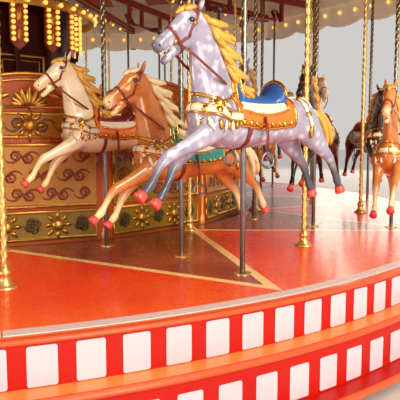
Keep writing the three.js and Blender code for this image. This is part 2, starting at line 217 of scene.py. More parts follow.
# A piece fixed on a face stands this far off it.
OFF_FACE = 0.0005
DECK_INNER = 3.48
DECK_EDGE = 5.9
STEP_BOARD = 0.03
RIDE_R = {"outer": 5.25, "middle": 4.5, "inner": 3.75}
RANKS = list(RIDE_R)
THROW = 0.18
PHASES = [("high", radians(120)), ("low", radians(240)), ("level", 0.0)]
HORSES = [(rank, row) for row in range(ROWS) for rank in RANKS]


def row_angle(row):
    return (row + ROW_IN_BAY) * BAY


def phase(rank, row):
    """The name, lift and lead of the crank throw that a horse hangs on."""
    name, angle = PHASES[(RANKS.index(rank) + row) % 3]
    return name, THROW * sin(angle), THROW * cos(angle)


def beside(angle, radius, shift):
    """A place at a radius, moved sideways by shift."""
    return radius * cos(angle) - shift * sin(angle), radius * sin(angle) + shift * cos(angle)


def rod_place(rank, row):
    return beside(row_angle(row), RIDE_R[rank], -phase(rank, row)[2])


def polar_point(radius, angle, height=0.0):
    return Vector((radius * cos(angle), radius * sin(angle), height))


def turn_about(tree, place):
    """The turn of a place about Z, and the place's three measures."""
    axes = add(tree, "SeparateXYZ", Vector=place).outputs
    return add(tree, "Math", axes["Y"], axes["X"], operation="ARCTAN2"), axes


APEX_R = 5.66
VALLEY_R = 3.6
LINE_WIDTH = 0.07
deck_paint, tree, place = begin_material("gloss_deck_enamel")
turn, axes = turn_about(tree, place)
from_start = add(tree, "Math", turn, ROW_IN_BAY * BAY, operation="SUBTRACT")
from_row = add(tree, "Math", from_start, BAY / 2, operation="PINGPONG")
squares = [add(tree, "Math", axes[way], 2.0, operation="POWER") for way in "XY"]
radius = add(tree, "Math", add(tree, "Math", *squares, operation="ADD"), operation="SQRT")
outward, sideways = (
    add(tree, "Math", radius, add(tree, "Math", from_row, operation=way), operation="MULTIPLY")
    for way in ("COSINE", "SINE")
)
# A wedge's side runs from its apex at the edge to the valley half-way to the next row.
valley = Vector((VALLEY_R * cos(BAY / 2), VALLEY_R * sin(BAY / 2)))
edge_way = (valley - Vector((APEX_R, 0))).normalized()
from_apex = add(tree, "Math", outward, APEX_R, operation="SUBTRACT")
off_line = add(
    tree, "Math", add(tree, "Math", sideways, edge_way.x, operation="MULTIPLY"),
    add(tree, "Math", from_apex, edge_way.y, operation="MULTIPLY"), operation="SUBTRACT"
)
in_wedge = add(tree, "Math", off_line, 0.0, operation="GREATER_THAN")
line_away = add(tree, "Math", off_line, operation="ABSOLUTE")
on_line = add(tree, "Math", line_away, LINE_WIDTH / 2, operation="LESS_THAN")
clouds = add(tree, "TexNoise", Vector=place, Scale=1.6, Detail=5.0, Roughness=0.6)
# Painted sheen: the reds turn a lighter orange towards the platform's edge, where the gloss catches the
# light, and their tone also changes at random.
painted_edge_sheen = add(tree, "MapRange", Value=radius, From_Min=4.9, From_Max=5.95)
cloud_tone = add(tree, "MapRange", Value=clouds, From_Min=0.35, From_Max=0.7)
glow = add(
    tree, "Math", add(tree, "Math", painted_edge_sheen, 0.55, operation="MULTIPLY"),
    add(tree, "Math", cloud_tone, 0.35, operation="MULTIPLY"), operation="ADD"
)
reds = add(tree, "Mix", Factor=glow, A="#ee2408", B="#ff6f2e", data_type="RGBA")
wedge = add(tree, "Mix", Factor=cloud_tone, A="#8e2c24", B="#b25238", data_type="RGBA")
fields = add(tree, "Mix", Factor=in_wedge, A=reds, B=wedge, data_type="RGBA")
lined = add(tree, "Mix", Factor=on_line, A=fields, B="#ffd489", data_type="RGBA")
# Fine scuffs from shoes, about 20 to 60 mm long, drawn a little coarser than real so that they show.
scuffs = add(tree, "TexNoise", Vector=place, Scale=26.0, Detail=6.0, Roughness=0.75, Distortion=1.5)
worn = add(tree, "MapRange", Value=scuffs, From_Min=0.58, From_Max=0.74, To_Max=0.5)
deck_colour = add(tree, "Mix", Factor=worn, A=lined, B="#b96a4c", data_type="RGBA")
gloss = add(tree, "MapRange", Value=scuffs, From_Min=0.3, From_Max=0.75, To_Min=0.14, To_Max=0.5)
dents = add(tree, "Bump", Height=clouds, Strength=0.12, Distance=0.01)
end_material(
    tree, Base_Color=deck_colour, Roughness=gloss, Normal=dents, Coat_Weight=0.25, Coat_Roughness=0.12
)


def arc(radius, start, end, steps):
    return [(radius * cos(a), radius * sin(a)) for a in np.linspace(start, end, steps + 1)]


def slab_with_holes(name, outline, holes, low, high, materials):
    """A flat board cut to an outline, with through holes."""
    rings = [outline] + holes
    flat = [Vector((x, y, 0)) for ring in rings for x, y in ring]
    triangles = tessellate_polygon([[Vector((x, y, 0)) for x, y in ring] for ring in rings])
    count = len(flat)
    vertices = [(v.x, v.y, high) for v in flat] + [(v.x, v.y, low) for v in flat]
    faces = []
    for triangle in triangles:
        a, b, c = (flat[i] for i in triangle)
        upward = (b - a).cross(c - a).z > 0
        top = tuple(triangle if upward else reversed(triangle))
        faces += [top, tuple(i + count for i in reversed(top))]
    first = 0
    for ring in rings:
        for i in range(len(ring)):
            a = first + i
            b = first + (i + 1) % len(ring)
            faces.append((a, a + count, b + count, b))
        first += len(ring)
    return mesh_piece(name, vertices, faces, materials, smooth=False)


GUIDE_HOLE = 0.025
for quarter in range(4):
    start = quarter * 3 * BAY
    end = start + 3 * BAY
    outline = arc(DECK_EDGE - STEP_BOARD, start, end, 90) + arc(DECK_INNER, end, start, 60)
    holes = []
    for rank, row in HORSES[quarter * 9 : quarter * 9 + 9]:
        x, y = rod_place(rank, row)
        holes.append([(x + u, y + v) for u, v in arc(GUIDE_HOLE, 0, -tau, 16)[1:]])
    fit(
        slab_with_holes(
            f"deck_{quarter + 1}", outline, holes, DECK_TOP - DECK_THICK, DECK_TOP, [deck_paint]
        ),
        "turntable", "deck_paint", f"platform_{quarter + 1}"
    )


# Rod guides
# Each horse rod slides in a round guide, turned in brass and polished by wear, and fixed down to the
# platform with four screws over the rod's hole.
def new_tree(name, **sockets):
    """A geometry node group with named inputs, and those inputs."""
    tree = bpy.data.node_groups.new(name, "GeometryNodeTree")
    tree.interface.new_socket("Geometry", in_out="OUTPUT", socket_type="NodeSocketGeometry")
    for label, kind in {"Geometry": "Geometry", **sockets, "Material": "Material"}.items():
        tree.interface.new_socket(label, in_out="INPUT", socket_type=f"NodeSocket{kind}")
    return tree, add(tree, "GroupInput").outputs


def close_tree(tree, given, geometry):
    """Realizes the instances and gives them their material, because the export drops instances."""
    real = add(tree, "RealizeInstances", Geometry=geometry)
    shaded = add(tree, "SetMaterial", Geometry=real, Material=given["Material"])
    add(tree, "GroupOutput", Geometry=shaded)


def as_mesh(source):
    """The mesh that an object's modifiers make, in place of the object."""
    evaluated = source.evaluated_get(bpy.context.evaluated_depsgraph_get())
    data = bpy.data.meshes.new_from_object(evaluated)
    bpy.data.objects.remove(source)
    return data


def grow(name, tree, values, points, smooth=False, **carried):
    """Runs a geometry node group on points that carry numbers, and keeps the result as a plain mesh."""
    data = mesh_data(name, points)
    for label, numbers in carried.items():
        data.attributes.new(label, "FLOAT", "POINT").data.foreach_set("value", list(numbers))
    source = put_in_scene(name + "_points", data)
    modifier = source.modifiers.new("grow", "NODES")
    modifier.node_group = tree
    for item in tree.interface.items_tree:
        if item.in_out == "INPUT" and item.name in values:
            modifier[item.identifier] = values[item.name]
    piece = put_in_scene(name, as_mesh(source))
    if smooth:
        piece.data.polygons.foreach_set("use_smooth", [True] * len(piece.data.polygons))
    return piece


def carried_by(tree, label):
    """A number that each point carries."""
    return add(tree, "InputNamedAttribute", Name=label, data_type="FLOAT")


def spin_of(tree):
    """The turn about Z that each point carries."""
    return add(tree, "CombineXYZ", Z=carried_by(tree, "spin"))


def metal_material(name, bright, dull, roughness=0.3, scale=18.0, metallic=1.0):
    """Polished or cast metal with a little tarnish and a rippled surface."""
    material, tree, place = begin_material(name)
    tarnish = add(tree, "TexNoise", Vector=place, Scale=scale, Detail=5.0)
    tone = add(tree, "Mix", Factor=tarnish, A=bright, B=dull, data_type="RGBA")
    wear = add(tree, "MapRange", Value=tarnish, To_Min=roughness * 0.7, To_Max=roughness * 1.5)
    bump = add(tree, "Bump", Height=tarnish, Strength=0.05, Distance=0.002)
    end_material(tree, Base_Color=tone, Roughness=wear, Normal=bump, Metallic=metallic)
    return material


polished_brass = metal_material("polished_brass", "#fbdc92", "#d9a44c", roughness=0.32, metallic=0.9)
oiled_steel = metal_material("oiled_steel", "#a3a5a8", "#5f6163", roughness=0.35)

GUIDE_R = 0.062
tree, given = new_tree("rod_guides", Outer="Float", Hole="Float", Thickness="Float")
rim = add(tree, "CurvePrimitiveCircle", Resolution=28, Radius=given["Outer"])
bore = add(tree, "CurvePrimitiveCircle", Resolution=28, Radius=given["Hole"])
plate = add(tree, "FillCurve", Curve=add(tree, "JoinGeometry", Geometry=[rim, bore]))
raised = add(tree, "ExtrudeMesh", Mesh=plate, Offset_Scale=given["Thickness"], Individual=False)
screw = add(tree, "MeshCylinder", Vertices=10, Radius=0.006, Depth=0.014, fill_type="TRIANGLE_FAN")
screw_ring = add(tree, "MeshCircle", Vertices=4, Radius=0.047)
screws = add(tree, "InstanceOnPoints", Points=screw_ring, Instance=screw)
guide = add(tree, "JoinGeometry", Geometry=[raised, screws])
placed = add(tree, "InstanceOnPoints", Points=given["Geometry"], Instance=guide, Rotation=spin_of(tree))
close_tree(tree, given, placed)
guide_places = [(*rod_place(rank, row), DECK_TOP + OFF_FACE) for rank, row in HORSES]
guide_turns = [row_angle(row) + radians(45) for _, row in HORSES]
fit(
    grow(
        "rod_guides", tree,
        {"Outer": GUIDE_R, "Hole": GUIDE_HOLE - 0.003, "Thickness": 0.006, "Material": polished_brass},
        guide_places, spin=guide_turns
    ),
    "turntable", "steel"
)


# Steps
# Two wooden steps hang round the platform edge and turn with it. The risers are red gloss with a row of
# cream squares. The upper tread's top is light orange, partly paint and partly painted light for a warm
# sheen on its lit face. The nosings and the platform's own rounded edge are a darker, redder orange, which
# is painted shade on their rounded fronts.
STEP_GOING = 0.13
STEP_NOSING = 0.02
STEP_TREAD = 0.048
LOWER_R = DECK_EDGE + STEP_GOING


def enamel(name, colour, worn_colour, roughness=0.22, coarse=9.0, coat=0.25, wear_from=0.6, specular=0.5):
    """Gloss enamel on primed wood: brush ripple, slow change of tone, and chips that show older paint."""
    material, tree, place = begin_material(name)
    tone = add(tree, "TexNoise", Vector=place, Scale=2.2, Detail=4.0)
    chips = add(tree, "TexNoise", Vector=place, Scale=coarse, Detail=8.0, Roughness=0.7)
    worn = add(tree, "MapRange", Value=chips, From_Min=wear_from, From_Max=wear_from + 0.14, To_Max=0.75)
    shade = add(tree, "MapRange", Value=tone, To_Min=0.82, To_Max=1.1)
    varied = add(tree, "Mix", Factor=1.0, A=colour, B=shade, data_type="RGBA", blend_type="MULTIPLY")
    mixed = add(tree, "Mix", Factor=worn, A=varied, B=worn_colour, data_type="RGBA")
    gloss = add(tree, "MapRange", Value=chips, From_Min=0.3, From_Max=0.8, To_Min=roughness, To_Max=0.55)
    ripple = add(tree, "Bump", Height=chips, Strength=0.1, Distance=0.004)
    end_material(
        tree, Base_Color=mixed, Roughness=gloss, Normal=ripple, Coat_Weight=coat, Coat_Roughness=0.1,
        Specular_IOR_Level=specular
    )
    return material


riser_red = enamel("fairground_red_enamel", "#b81204", "#8e2b1c", roughness=0.4, coat=0.04, specular=0.22)
# The tread's light orange is partly painted light, a warm sheen on its lit top. The nosings' darker, redder
# orange is painted shade on their rounded fronts.
tread_lit_orange = enamel(
    "lit_orange_tread_enamel", "#e88c42", "#a9694a", roughness=0.3, coarse=16.0, coat=0.15, wear_from=0.56
)
nosing_shaded_orange = enamel("shaded_orange_nosing_enamel", "#cf4e1c", "#9a4a30", roughness=0.3, coarse=16.0, coat=0.1)
square_cream = enamel("cream_enamel", "#d6bfc8", "#c4ac9c", wear_from=0.63)
worn_nickel = metal_material(
    "worn_edge_strip", "#f6e2dc", "#c8b2ac", roughness=0.5, scale=30.0, metallic=0.2
)


def turns_of(count, shift=0.0):
    """Even turns round a circle."""
    return [tau * (k + shift) / count for k in range(count)]


def stack(levels, ring, ends_first=False):
    """Faces between rings of points, one ring after another, and over the two ends."""
    sides = []
    for first in range(0, (levels - 1) * ring, ring):
        for k in range(ring):
            after = first + (k + 1) % ring
            sides.append((first + k, after, after + ring, first + k + ring))
    last = (levels - 1) * ring
    ends = [tuple(reversed(range(ring))), tuple(range(last, last + ring))]
    return ends + sides if ends_first else sides + ends


def turn_out(data):
    """Points every face of a mesh outwards."""
    bm = bmesh.new()
    bm.from_mesh(data)
    bmesh.ops.recalc_face_normals(bm, faces=bm.faces)
    bm.to_mesh(data)
    bm.free()


def sweep(name, profile, start, end, steps, materials, slots=None):
    """A closed profile of (radius, height) points swept round an arc, with its two ends capped."""
    angles = np.linspace(start, end, steps + 1)
    vertices = [(r * cos(a), r * sin(a), z) for a in angles for r, z in profile]
    indices = (slots or [0] * len(profile)) * steps
    indices += [indices[0]] * 2
    faces = stack(steps + 1, len(profile))
    piece = mesh_piece(name, vertices, faces, materials, indices, smooth=False)
    turn_out(piece.data)
    return piece


def round_nose(radius, height, depth):
    """Half-round points down the front of a tread."""
    half = depth / 2
    turns = np.linspace(pi / 2, -pi / 2, 7)
    return [(radius - half + half * cos(a), height - half + half * sin(a)) for a in turns]


EDGE_TOP = DECK_TOP - 0.001
EDGE_BULGE = 0.012
EDGE_DEPTH = 0.034
UPPER_TREAD, LOWER_TREAD = DECK_TOP - 0.244, DECK_TOP - 0.552
RED, ORANGE, NOSING = 0, 1, 2
# The section through the platform's edge and both steps, in runs of one paint.
edge = round_nose(DECK_EDGE + EDGE_BULGE, EDGE_TOP, EDGE_DEPTH)
step_runs = [
    (NOSING, [(DECK_EDGE - STEP_BOARD, EDGE_TOP)] + edge), (RED, [(DECK_EDGE, EDGE_TOP - EDGE_DEPTH)]),
    (ORANGE, [(DECK_EDGE, UPPER_TREAD)]),
    (NOSING, round_nose(LOWER_R + STEP_NOSING, UPPER_TREAD, STEP_TREAD)),
    (RED, [(LOWER_R, UPPER_TREAD - STEP_TREAD), (LOWER_R, LOWER_TREAD)]),
    (NOSING, round_nose(LOWER_R + STEP_GOING + STEP_NOSING, LOWER_TREAD, STEP_TREAD)),
    (
        RED,
        [(LOWER_R - STEP_BOARD, LOWER_TREAD - STEP_TREAD), (LOWER_R - STEP_BOARD, UPPER_TREAD - STEP_TREAD)]
    ),
    (RED, [(DECK_EDGE - STEP_BOARD, UPPER_TREAD - STEP_TREAD)])
]
profile = [point for _, points in step_runs for point in points]
slots = [paint for paint, points in step_runs for _ in points]
for quarter in range(4):
    fit(
        sweep(
            f"steps_{quarter + 1}_boards", profile, quarter * 3 * BAY, quarter * 3 * BAY + 3 * BAY, 90,
            [riser_red, tread_lit_orange, nosing_shaded_orange], slots
        ),
        "turntable", "step_paint", f"steps_{quarter + 1}"
    )

# A metal strip is screwed down on the platform just inside its edge, in one length for each section.
STRIP_R = (5.754, 5.85)
STRIP_HIGH = 0.004
strip_profile = [
    (STRIP_R[0], DECK_TOP + OFF_FACE), (STRIP_R[0] + 0.003, DECK_TOP + STRIP_HIGH),
    (STRIP_R[1] - 0.003, DECK_TOP + STRIP_HIGH), (STRIP_R[1], DECK_TOP + OFF_FACE)
]
SEAM = 0.0008
for section in range(ROWS):
    fit(
        sweep(
            f"edge_strip_{section + 1:02d}", strip_profile, section * BAY + SEAM,
            (section + 1) * BAY - SEAM, 30, [worn_nickel]
        ),
        "turntable", "steel"
    )

# Cream squares, thin boards with eased corners pinned to both risers.
SQUARES = 160
tree, given = new_tree("step_squares", Width="Float", Tall="Float", Corner="Float", Thickness="Float")
shape = add(tree, "CurvePrimitiveQuadrilateral", Width=given["Width"], Height=given["Tall"])
eased = add(tree, "FilletCurve", Curve=shape, Radius=given["Corner"], Count=3, mode="POLY")
flat = add(tree, "FillCurve", Curve=eased, mode="NGONS")
thick = add(tree, "ExtrudeMesh", Mesh=flat, Offset_Scale=given["Thickness"], Individual=False)
upright = add(tree, "Transform", Geometry=thick, Rotation=(pi / 2, 0, pi / 2))
placed = add(tree, "InstanceOnPoints", Points=given["Geometry"], Instance=upright, Rotation=spin_of(tree))
close_tree(tree, given, placed)
square_rows = (
    ("upper", DECK_EDGE + OFF_FACE, DECK_TOP - 0.14), ("lower", LOWER_R + OFF_FACE, DECK_TOP - 0.443)
)
for label, square_r, height in square_rows:
    turns = [(i + 0.76) * tau / SQUARES for i in range(SQUARES)]
    fit(
        grow(
            f"step_squares_{label}", tree,
            {"Width": 0.144, "Tall": 0.198, "Corner": 0.012, "Thickness": 0.004, "Material": square_cream},
            [polar_point(square_r, a, height) for a in turns], spin=turns
        ),
        "turntable", "step_paint"
    )


# Barley-twist columns
# Iron hanger rods cased in brass tube that is drawn with a spiral flute, like barley sugar. They carry
# the platform from the swifts overhead, and have a turned foot and head. The horses' rods are cased too.
tree, given = new_tree("barley_twist", Length="Float", Radius="Float", Turns="Float", Steps="Int")
axis = add(tree, "CurvePrimitiveLine", Start=(0, 0, 0), End=add(tree, "CombineXYZ", Z=given["Length"]))
divided = add(tree, "ResampleCurve", Curve=axis, Count=given["Steps"], mode="COUNT")
reach = add(tree, "SplineParameter")
turns = add(tree, "Math", reach.outputs["Factor"], given["Turns"], operation="MULTIPLY")
angle = add(tree, "Math", turns, tau, operation="MULTIPLY")
twisted = add(tree, "SetCurveTilt", Curve=divided, Tilt=angle)
ring = add(tree, "CurvePrimitiveCircle", Resolution=9, Radius=given["Radius"])
# Three round lobes: the radius swings by 0.14 of itself as the turn goes round.
place = add(tree, "InputPosition").outputs["Position"]
bearing, _ = turn_about(tree, place)
tripled = add(tree, "Math", bearing, 3.0, operation="MULTIPLY")
swing = add(tree, "Math", add(tree, "Math", tripled, operation="COSINE"), 0.14, operation="MULTIPLY")
lobe = add(tree, "Math", 0.86, swing, operation="ADD")
moved = add(tree, "VectorMath", place, Scale=lobe, operation="SCALE")
fluted = add(tree, "SetPosition", Geometry=ring, Position=moved)
tube = add(tree, "CurveToMesh", Curve=twisted, Profile_Curve=fluted, Fill_Caps=True)
placed = add(tree, "InstanceOnPoints", Points=given["Geometry"], Instance=tube)
close_tree(tree, given, placed)
barley_twist = tree
HANGER_R = {"outer": 4.9, "inner": 3.59}
HANGER_SHIFT = 0.036
SWIFT_Z = 4.15
hanger_feet = [
    (*beside(section * BAY, radius, HANGER_SHIFT), DECK_TOP)
    for section in range(ROWS)
    for radius in HANGER_R.values()
]
columns = grow(
    "platform_hangers", barley_twist,
    {"Length": SWIFT_Z - DECK_TOP, "Radius": 0.026, "Turns": 14.0, "Steps": 98, "Material": polished_brass},
    hanger_feet, smooth=True
)
fit(columns, "turntable", "gilt")


def lathe(profile, sides, place=(0, 0, 0)):
    """Vertices and faces of a turned form about Z from (radius, height) points, closed at both ends."""
    x, y, z = place
    vertices = [(x + r * cos(a), y + r * sin(a), z + h) for r, h in profile for a in turns_of(sides)]
    return vertices, stack(len(profile), sides)


def joined(parts):
    """Several forms, each a list of points and one of faces, as one."""
    vertices = []
    faces = []
    for points, polygons in parts:
        shift = len(vertices)
        vertices += points
        faces += [tuple(i + shift for i in polygon) for polygon in polygons]
    return vertices, faces


def gather(name, parts, material, smooth=True):
    """Forms joined into one piece of one material, with its faces turned outwards."""
    piece = mesh_piece(name, *joined(parts), [material], smooth=smooth)
    turn_out(piece.data)
    return piece


foot_profile = [
    (0.075, 0.0), (0.078, 0.008), (0.058, 0.018), (0.052, 0.03), (0.036, 0.045), (0.031, 0.075),
    (0.038, 0.09), (0.041, 0.1), (0.036, 0.112), (0.027, 0.12), (0.0265, 0.14)
]
turned = []
for x, y, z in hanger_feet:
    turned.append(lathe(foot_profile, 14, (x, y, DECK_TOP + OFF_FACE)))
    top_profile = [(r, SWIFT_Z - DECK_TOP - 0.002 - h) for r, h in reversed(foot_profile)]
    turned.append(lathe(top_profile, 14, (x, y, DECK_TOP)))
fit(gather("hanger_turnings", turned, polished_brass), "turntable", "gilt")


# Horse bodies
# Each horse was carved from jointed blocks of pine, rubbed down and painted in gloss, galloping, with its
# neck arched and its mouth open. One carving serves all 36, in three sizes, each with its own coat.
HORSE_SIZE = {"outer": 1.0, "middle": 0.93, "inner": 0.86}
BARREL_ABOVE_DECK = {"outer": 0.86, "middle": 0.91, "inner": 0.94}
NEAR, FAR = 1, -1


def along(stations, parts):
    """Stations with smooth ones put between them, on a curve through them all."""
    points = np.array(stations, dtype=float)
    before = np.vstack([2 * points[0] - points[1], points, 2 * points[-1] - points[-2]])
    smooth = []
    for i in range(len(points) - 1):
        p0, p1, p2, p3 = before[i : i + 4]
        for step in range(parts):
            t = step / parts
            smooth.append(
                0.5 * (
                    2 * p1 + (p2 - p0) * t + (2 * p0 - 5 * p1 + 4 * p2 - p3) * t**2
                    + (3 * p1 - p0 - 3 * p2 + p3) * t**3
                )
            )
    smooth.append(points[-1])
    return np.array(smooth)


def limb(stations, side=0, ring=16, parts=4):
    """A closed rounded form through stations of (x, out, z, half width, half depth), on a side."""
    rows = along(stations, parts)
    centres = [Vector((x, side * out, z)) for x, out, z, _, _ in rows]
    vertices = []
    for i, (centre, row) in enumerate(zip(centres, rows)):
        forward = (centres[min(i + 1, len(rows) - 1)] - centres[max(i - 1, 0)]).normalized()
        depth_way = Vector((0, 1, 0)).cross(forward).normalized()
        wide_way = forward.cross(depth_way).normalized()
        for a in turns_of(ring):
            wide = max(row[3], 0.003) * cos(a)
            deep = max(row[4], 0.003) * sin(a)
            vertices.append(centre + wide_way * wide + depth_way * deep)
    return vertices, stack(len(rows), ring)


TORSO = [
    (-0.615, 0, 0.07, 0.05, 0.06), (-0.57, 0, 0.062, 0.1, 0.112), (-0.48, 0, 0.045, 0.14, 0.152),
    (-0.36, 0, 0.03, 0.15, 0.16), (-0.2, 0, 0.01, 0.14, 0.15), (0.0, 0, -0.005, 0.146, 0.158),
    (0.15, 0, 0.0, 0.152, 0.168), (0.26, 0, 0.03, 0.146, 0.172), (0.345, 0, 0.06, 0.12, 0.15),
    (0.405, 0, 0.075, 0.07, 0.095), (0.425, 0, 0.08, 0.03, 0.04)
]
NECK = [
    (0.11, 0, 0.02, 0.07, 0.11), (0.2, 0, 0.12, 0.092, 0.165), (0.262, 0, 0.235, 0.082, 0.156),
    (0.298, 0, 0.355, 0.068, 0.136), (0.326, 0, 0.47, 0.058, 0.114), (0.358, 0, 0.57, 0.05, 0.09),
    (0.4, 0, 0.636, 0.044, 0.06)
]
SKULL = [
    (0.352, 0, 0.64, 0.038, 0.044), (0.395, 0, 0.64, 0.052, 0.068), (0.445, 0, 0.61, 0.06, 0.084),
    (0.492, 0, 0.576, 0.054, 0.076), (0.545, 0, 0.537, 0.043, 0.06), (0.6, 0, 0.497, 0.037, 0.05),
    (0.645, 0, 0.464, 0.041, 0.049), (0.676, 0, 0.44, 0.038, 0.043), (0.692, 0, 0.428, 0.022, 0.024)
]
JAW = [
    (0.395, 0, 0.56, 0.038, 0.045), (0.438, 0, 0.528, 0.047, 0.066), (0.485, 0, 0.488, 0.038, 0.05),
    (0.535, 0, 0.443, 0.03, 0.033), (0.58, 0, 0.403, 0.028, 0.025), (0.618, 0, 0.37, 0.029, 0.024),
    (0.638, 0, 0.352, 0.018, 0.016)
]
FORE_LEG_NEAR = [
    (0.225, 0.075, 0.09, 0.04, 0.09), (0.275, 0.092, 0.02, 0.066, 0.112),
    (0.35, 0.098, -0.055, 0.058, 0.084), (0.46, 0.098, -0.115, 0.046, 0.06),
    (0.58, 0.095, -0.17, 0.037, 0.044), (0.655, 0.093, -0.204, 0.036, 0.043),
    (0.695, 0.092, -0.236, 0.031, 0.034), (0.73, 0.091, -0.29, 0.023, 0.026),
    (0.762, 0.09, -0.345, 0.023, 0.027), (0.782, 0.089, -0.376, 0.029, 0.035),
    (0.806, 0.089, -0.398, 0.024, 0.027), (0.826, 0.089, -0.415, 0.028, 0.031)
]
FORE_LEG_FAR = [
    (0.215, 0.075, 0.08, 0.04, 0.09), (0.262, 0.092, 0.005, 0.066, 0.112),
    (0.318, 0.098, -0.09, 0.058, 0.08), (0.39, 0.098, -0.17, 0.045, 0.056),
    (0.455, 0.095, -0.235, 0.037, 0.043), (0.492, 0.093, -0.276, 0.036, 0.041),
    (0.514, 0.092, -0.316, 0.029, 0.032), (0.54, 0.091, -0.372, 0.023, 0.026),
    (0.564, 0.09, -0.42, 0.023, 0.027), (0.582, 0.089, -0.448, 0.029, 0.034),
    (0.602, 0.089, -0.47, 0.024, 0.027), (0.618, 0.089, -0.486, 0.027, 0.03)
]
HIND_LEG_NEAR = [
    (-0.4, 0.06, 0.08, 0.05, 0.1), (-0.455, 0.088, 0.02, 0.07, 0.132), (-0.53, 0.095, -0.055, 0.064, 0.108),
    (-0.605, 0.095, -0.125, 0.05, 0.076), (-0.668, 0.092, -0.18, 0.037, 0.052),
    (-0.722, 0.089, -0.222, 0.032, 0.042), (-0.76, 0.087, -0.268, 0.028, 0.034),
    (-0.79, 0.086, -0.325, 0.023, 0.028), (-0.818, 0.085, -0.378, 0.023, 0.027),
    (-0.832, 0.084, -0.405, 0.028, 0.034), (-0.846, 0.084, -0.432, 0.023, 0.027),
    (-0.854, 0.084, -0.45, 0.027, 0.03)
]
HIND_LEG_FAR = [
    (-0.395, 0.06, 0.07, 0.05, 0.1), (-0.44, 0.088, 0.005, 0.07, 0.13),
    (-0.49, 0.095, -0.085, 0.064, 0.104), (-0.545, 0.095, -0.165, 0.05, 0.074),
    (-0.592, 0.092, -0.225, 0.037, 0.051), (-0.634, 0.089, -0.268, 0.032, 0.041),
    (-0.662, 0.087, -0.315, 0.028, 0.033), (-0.684, 0.086, -0.37, 0.023, 0.028),
    (-0.705, 0.085, -0.42, 0.023, 0.027), (-0.716, 0.084, -0.446, 0.028, 0.033),
    (-0.728, 0.084, -0.47, 0.023, 0.027), (-0.734, 0.084, -0.486, 0.027, 0.03)
]
LEGS = [(FORE_LEG_NEAR, NEAR), (FORE_LEG_FAR, FAR), (HIND_LEG_NEAR, NEAR), (HIND_LEG_FAR, FAR)]

# A push on the carving at a place given as (x, out, z): its radius and how far it moves the surface.
CARVING = [
    ((0.452, 0.062, 0.622), 0.026, -0.012), ((0.448, 0.06, 0.655), 0.022, 0.006),
    ((0.47, 0.055, 0.54), 0.034, 0.008), ((0.52, 0.052, 0.56), 0.026, -0.006),
    ((0.668, 0.034, 0.452), 0.012, -0.01), ((0.655, 0.04, 0.462), 0.02, 0.006),
    ((0.3, 0.15, 0.08), 0.07, 0.012), ((0.215, 0.16, 0.06), 0.04, -0.012),
    ((0.335, 0.13, -0.01), 0.05, 0.012), ((-0.47, 0.15, 0.04), 0.09, 0.012),
    ((-0.33, 0.15, -0.04), 0.06, -0.014), ((-0.54, 0.13, -0.06), 0.06, 0.01),
    ((0.27, 0.085, 0.24), 0.05, -0.008), ((0.4, 0.02, 0.02), 0.03, -0.01),
    ((0.36, 0.06, 0.545), 0.03, -0.008)
]


def finished(name, data, modifiers):
    """A mesh with modifiers applied, each given as its kind and settings."""
    source = put_in_scene(name, data)
    for kind, settings in modifiers:
        modifier = source.modifiers.new(kind.lower(), kind)
        for key, value in settings.items():
            setattr(modifier, key, value)
    return as_mesh(source)


def read_points(data, kind="co"):
    """The places of a mesh's points, or the ways they face, as rows of three numbers."""
    values = np.empty(len(data.vertices) * 3)
    data.vertices.foreach_get(kind, values)
    return values.reshape(-1, 3)


def carve_body():
    """The bare carving: rounded forms fused into one skin, pushed in and out, then thinned."""
    forms = [limb(TORSO), limb(NECK), limb(SKULL), limb(JAW)]
    blocks = mesh_data("carving_blocks", *joined(forms + [limb(leg, side) for leg, side in LEGS]))
    turn_out(blocks)
    skin = finished(
        "carving_skin", blocks,
        [("REMESH", {"mode": "VOXEL", "voxel_size": 0.0085}), ("SMOOTH", {"factor": 0.5, "iterations": 6})]
    )
    spots = read_points(skin)
    normals = read_points(skin, "normal")
    mirrored = np.column_stack([spots[:, 0], np.abs(spots[:, 1]), spots[:, 2]])
    for centre, reach, push in CARVING:
        away = np.linalg.norm(mirrored - np.array(centre), axis=1)
        spots += normals * (push * np.exp(-((away / reach) ** 2)))[:, None]
    skin.vertices.foreach_set("co", spots.ravel())
    return finished(
        "carving", skin, [("SMOOTH", {"factor": 0.5, "iterations": 2}), ("DECIMATE", {"ratio": 0.098})]
    )


def fade(value, start, end):
    """A smooth rise from 0 at start to 1 at end."""
    t = np.clip((value - start) / (end - start), 0, 1)
    return t * t * (3 - 2 * t)


carving = carve_body()
skin = BVHTree.FromPolygons(
    [v.co.copy() for v in carving.vertices], [tuple(p.vertices) for p in carving.polygons]
)


def hug(point, lift):
    """The nearest place on the carving, raised by lift, and the way out of the surface there."""
    place, normal, _, _ = skin.find_nearest(Vector(point))
    return place + normal * lift, normal


def ribbon(points, normals, widths, depths, ring=6):
    """A closed flattened form along a path, its width along the surface and its depth standing out."""
    vertices = []
    count = len(points)
    for i in range(count):
        forward = (points[min(i + 1, count - 1)] - points[max(i - 1, 0)]).normalized()
        side = normals[i].cross(forward).normalized()
        out = forward.cross(side).normalized()
        for a in turns_of(ring, 0.5):
            vertices.append(points[i] + side * widths[i] * cos(a) + out * depths[i] * sin(a))
    return vertices, stack(count, ring)


def band(points, way, width, depth, ring=6):
    """A ribbon of even half width and depth that faces one way."""
    count = len(points)
    return ribbon(points, [way] * count, [width] * count, [depth] * count, ring)


def strap(controls, width, depth, lift=0.003, parts=5, closed=False):
    """A strap that lies on the carving through control points, domed across."""
    if closed:
        controls = list(controls) + [controls[0]]
    hugged = [hug(row[:3], lift) for row in along([tuple(c) + (0, 0) for c in controls], parts)]
    points, normals = zip(*hugged)
    return ribbon(points, normals, [width / 2] * len(points), [depth] * len(points))


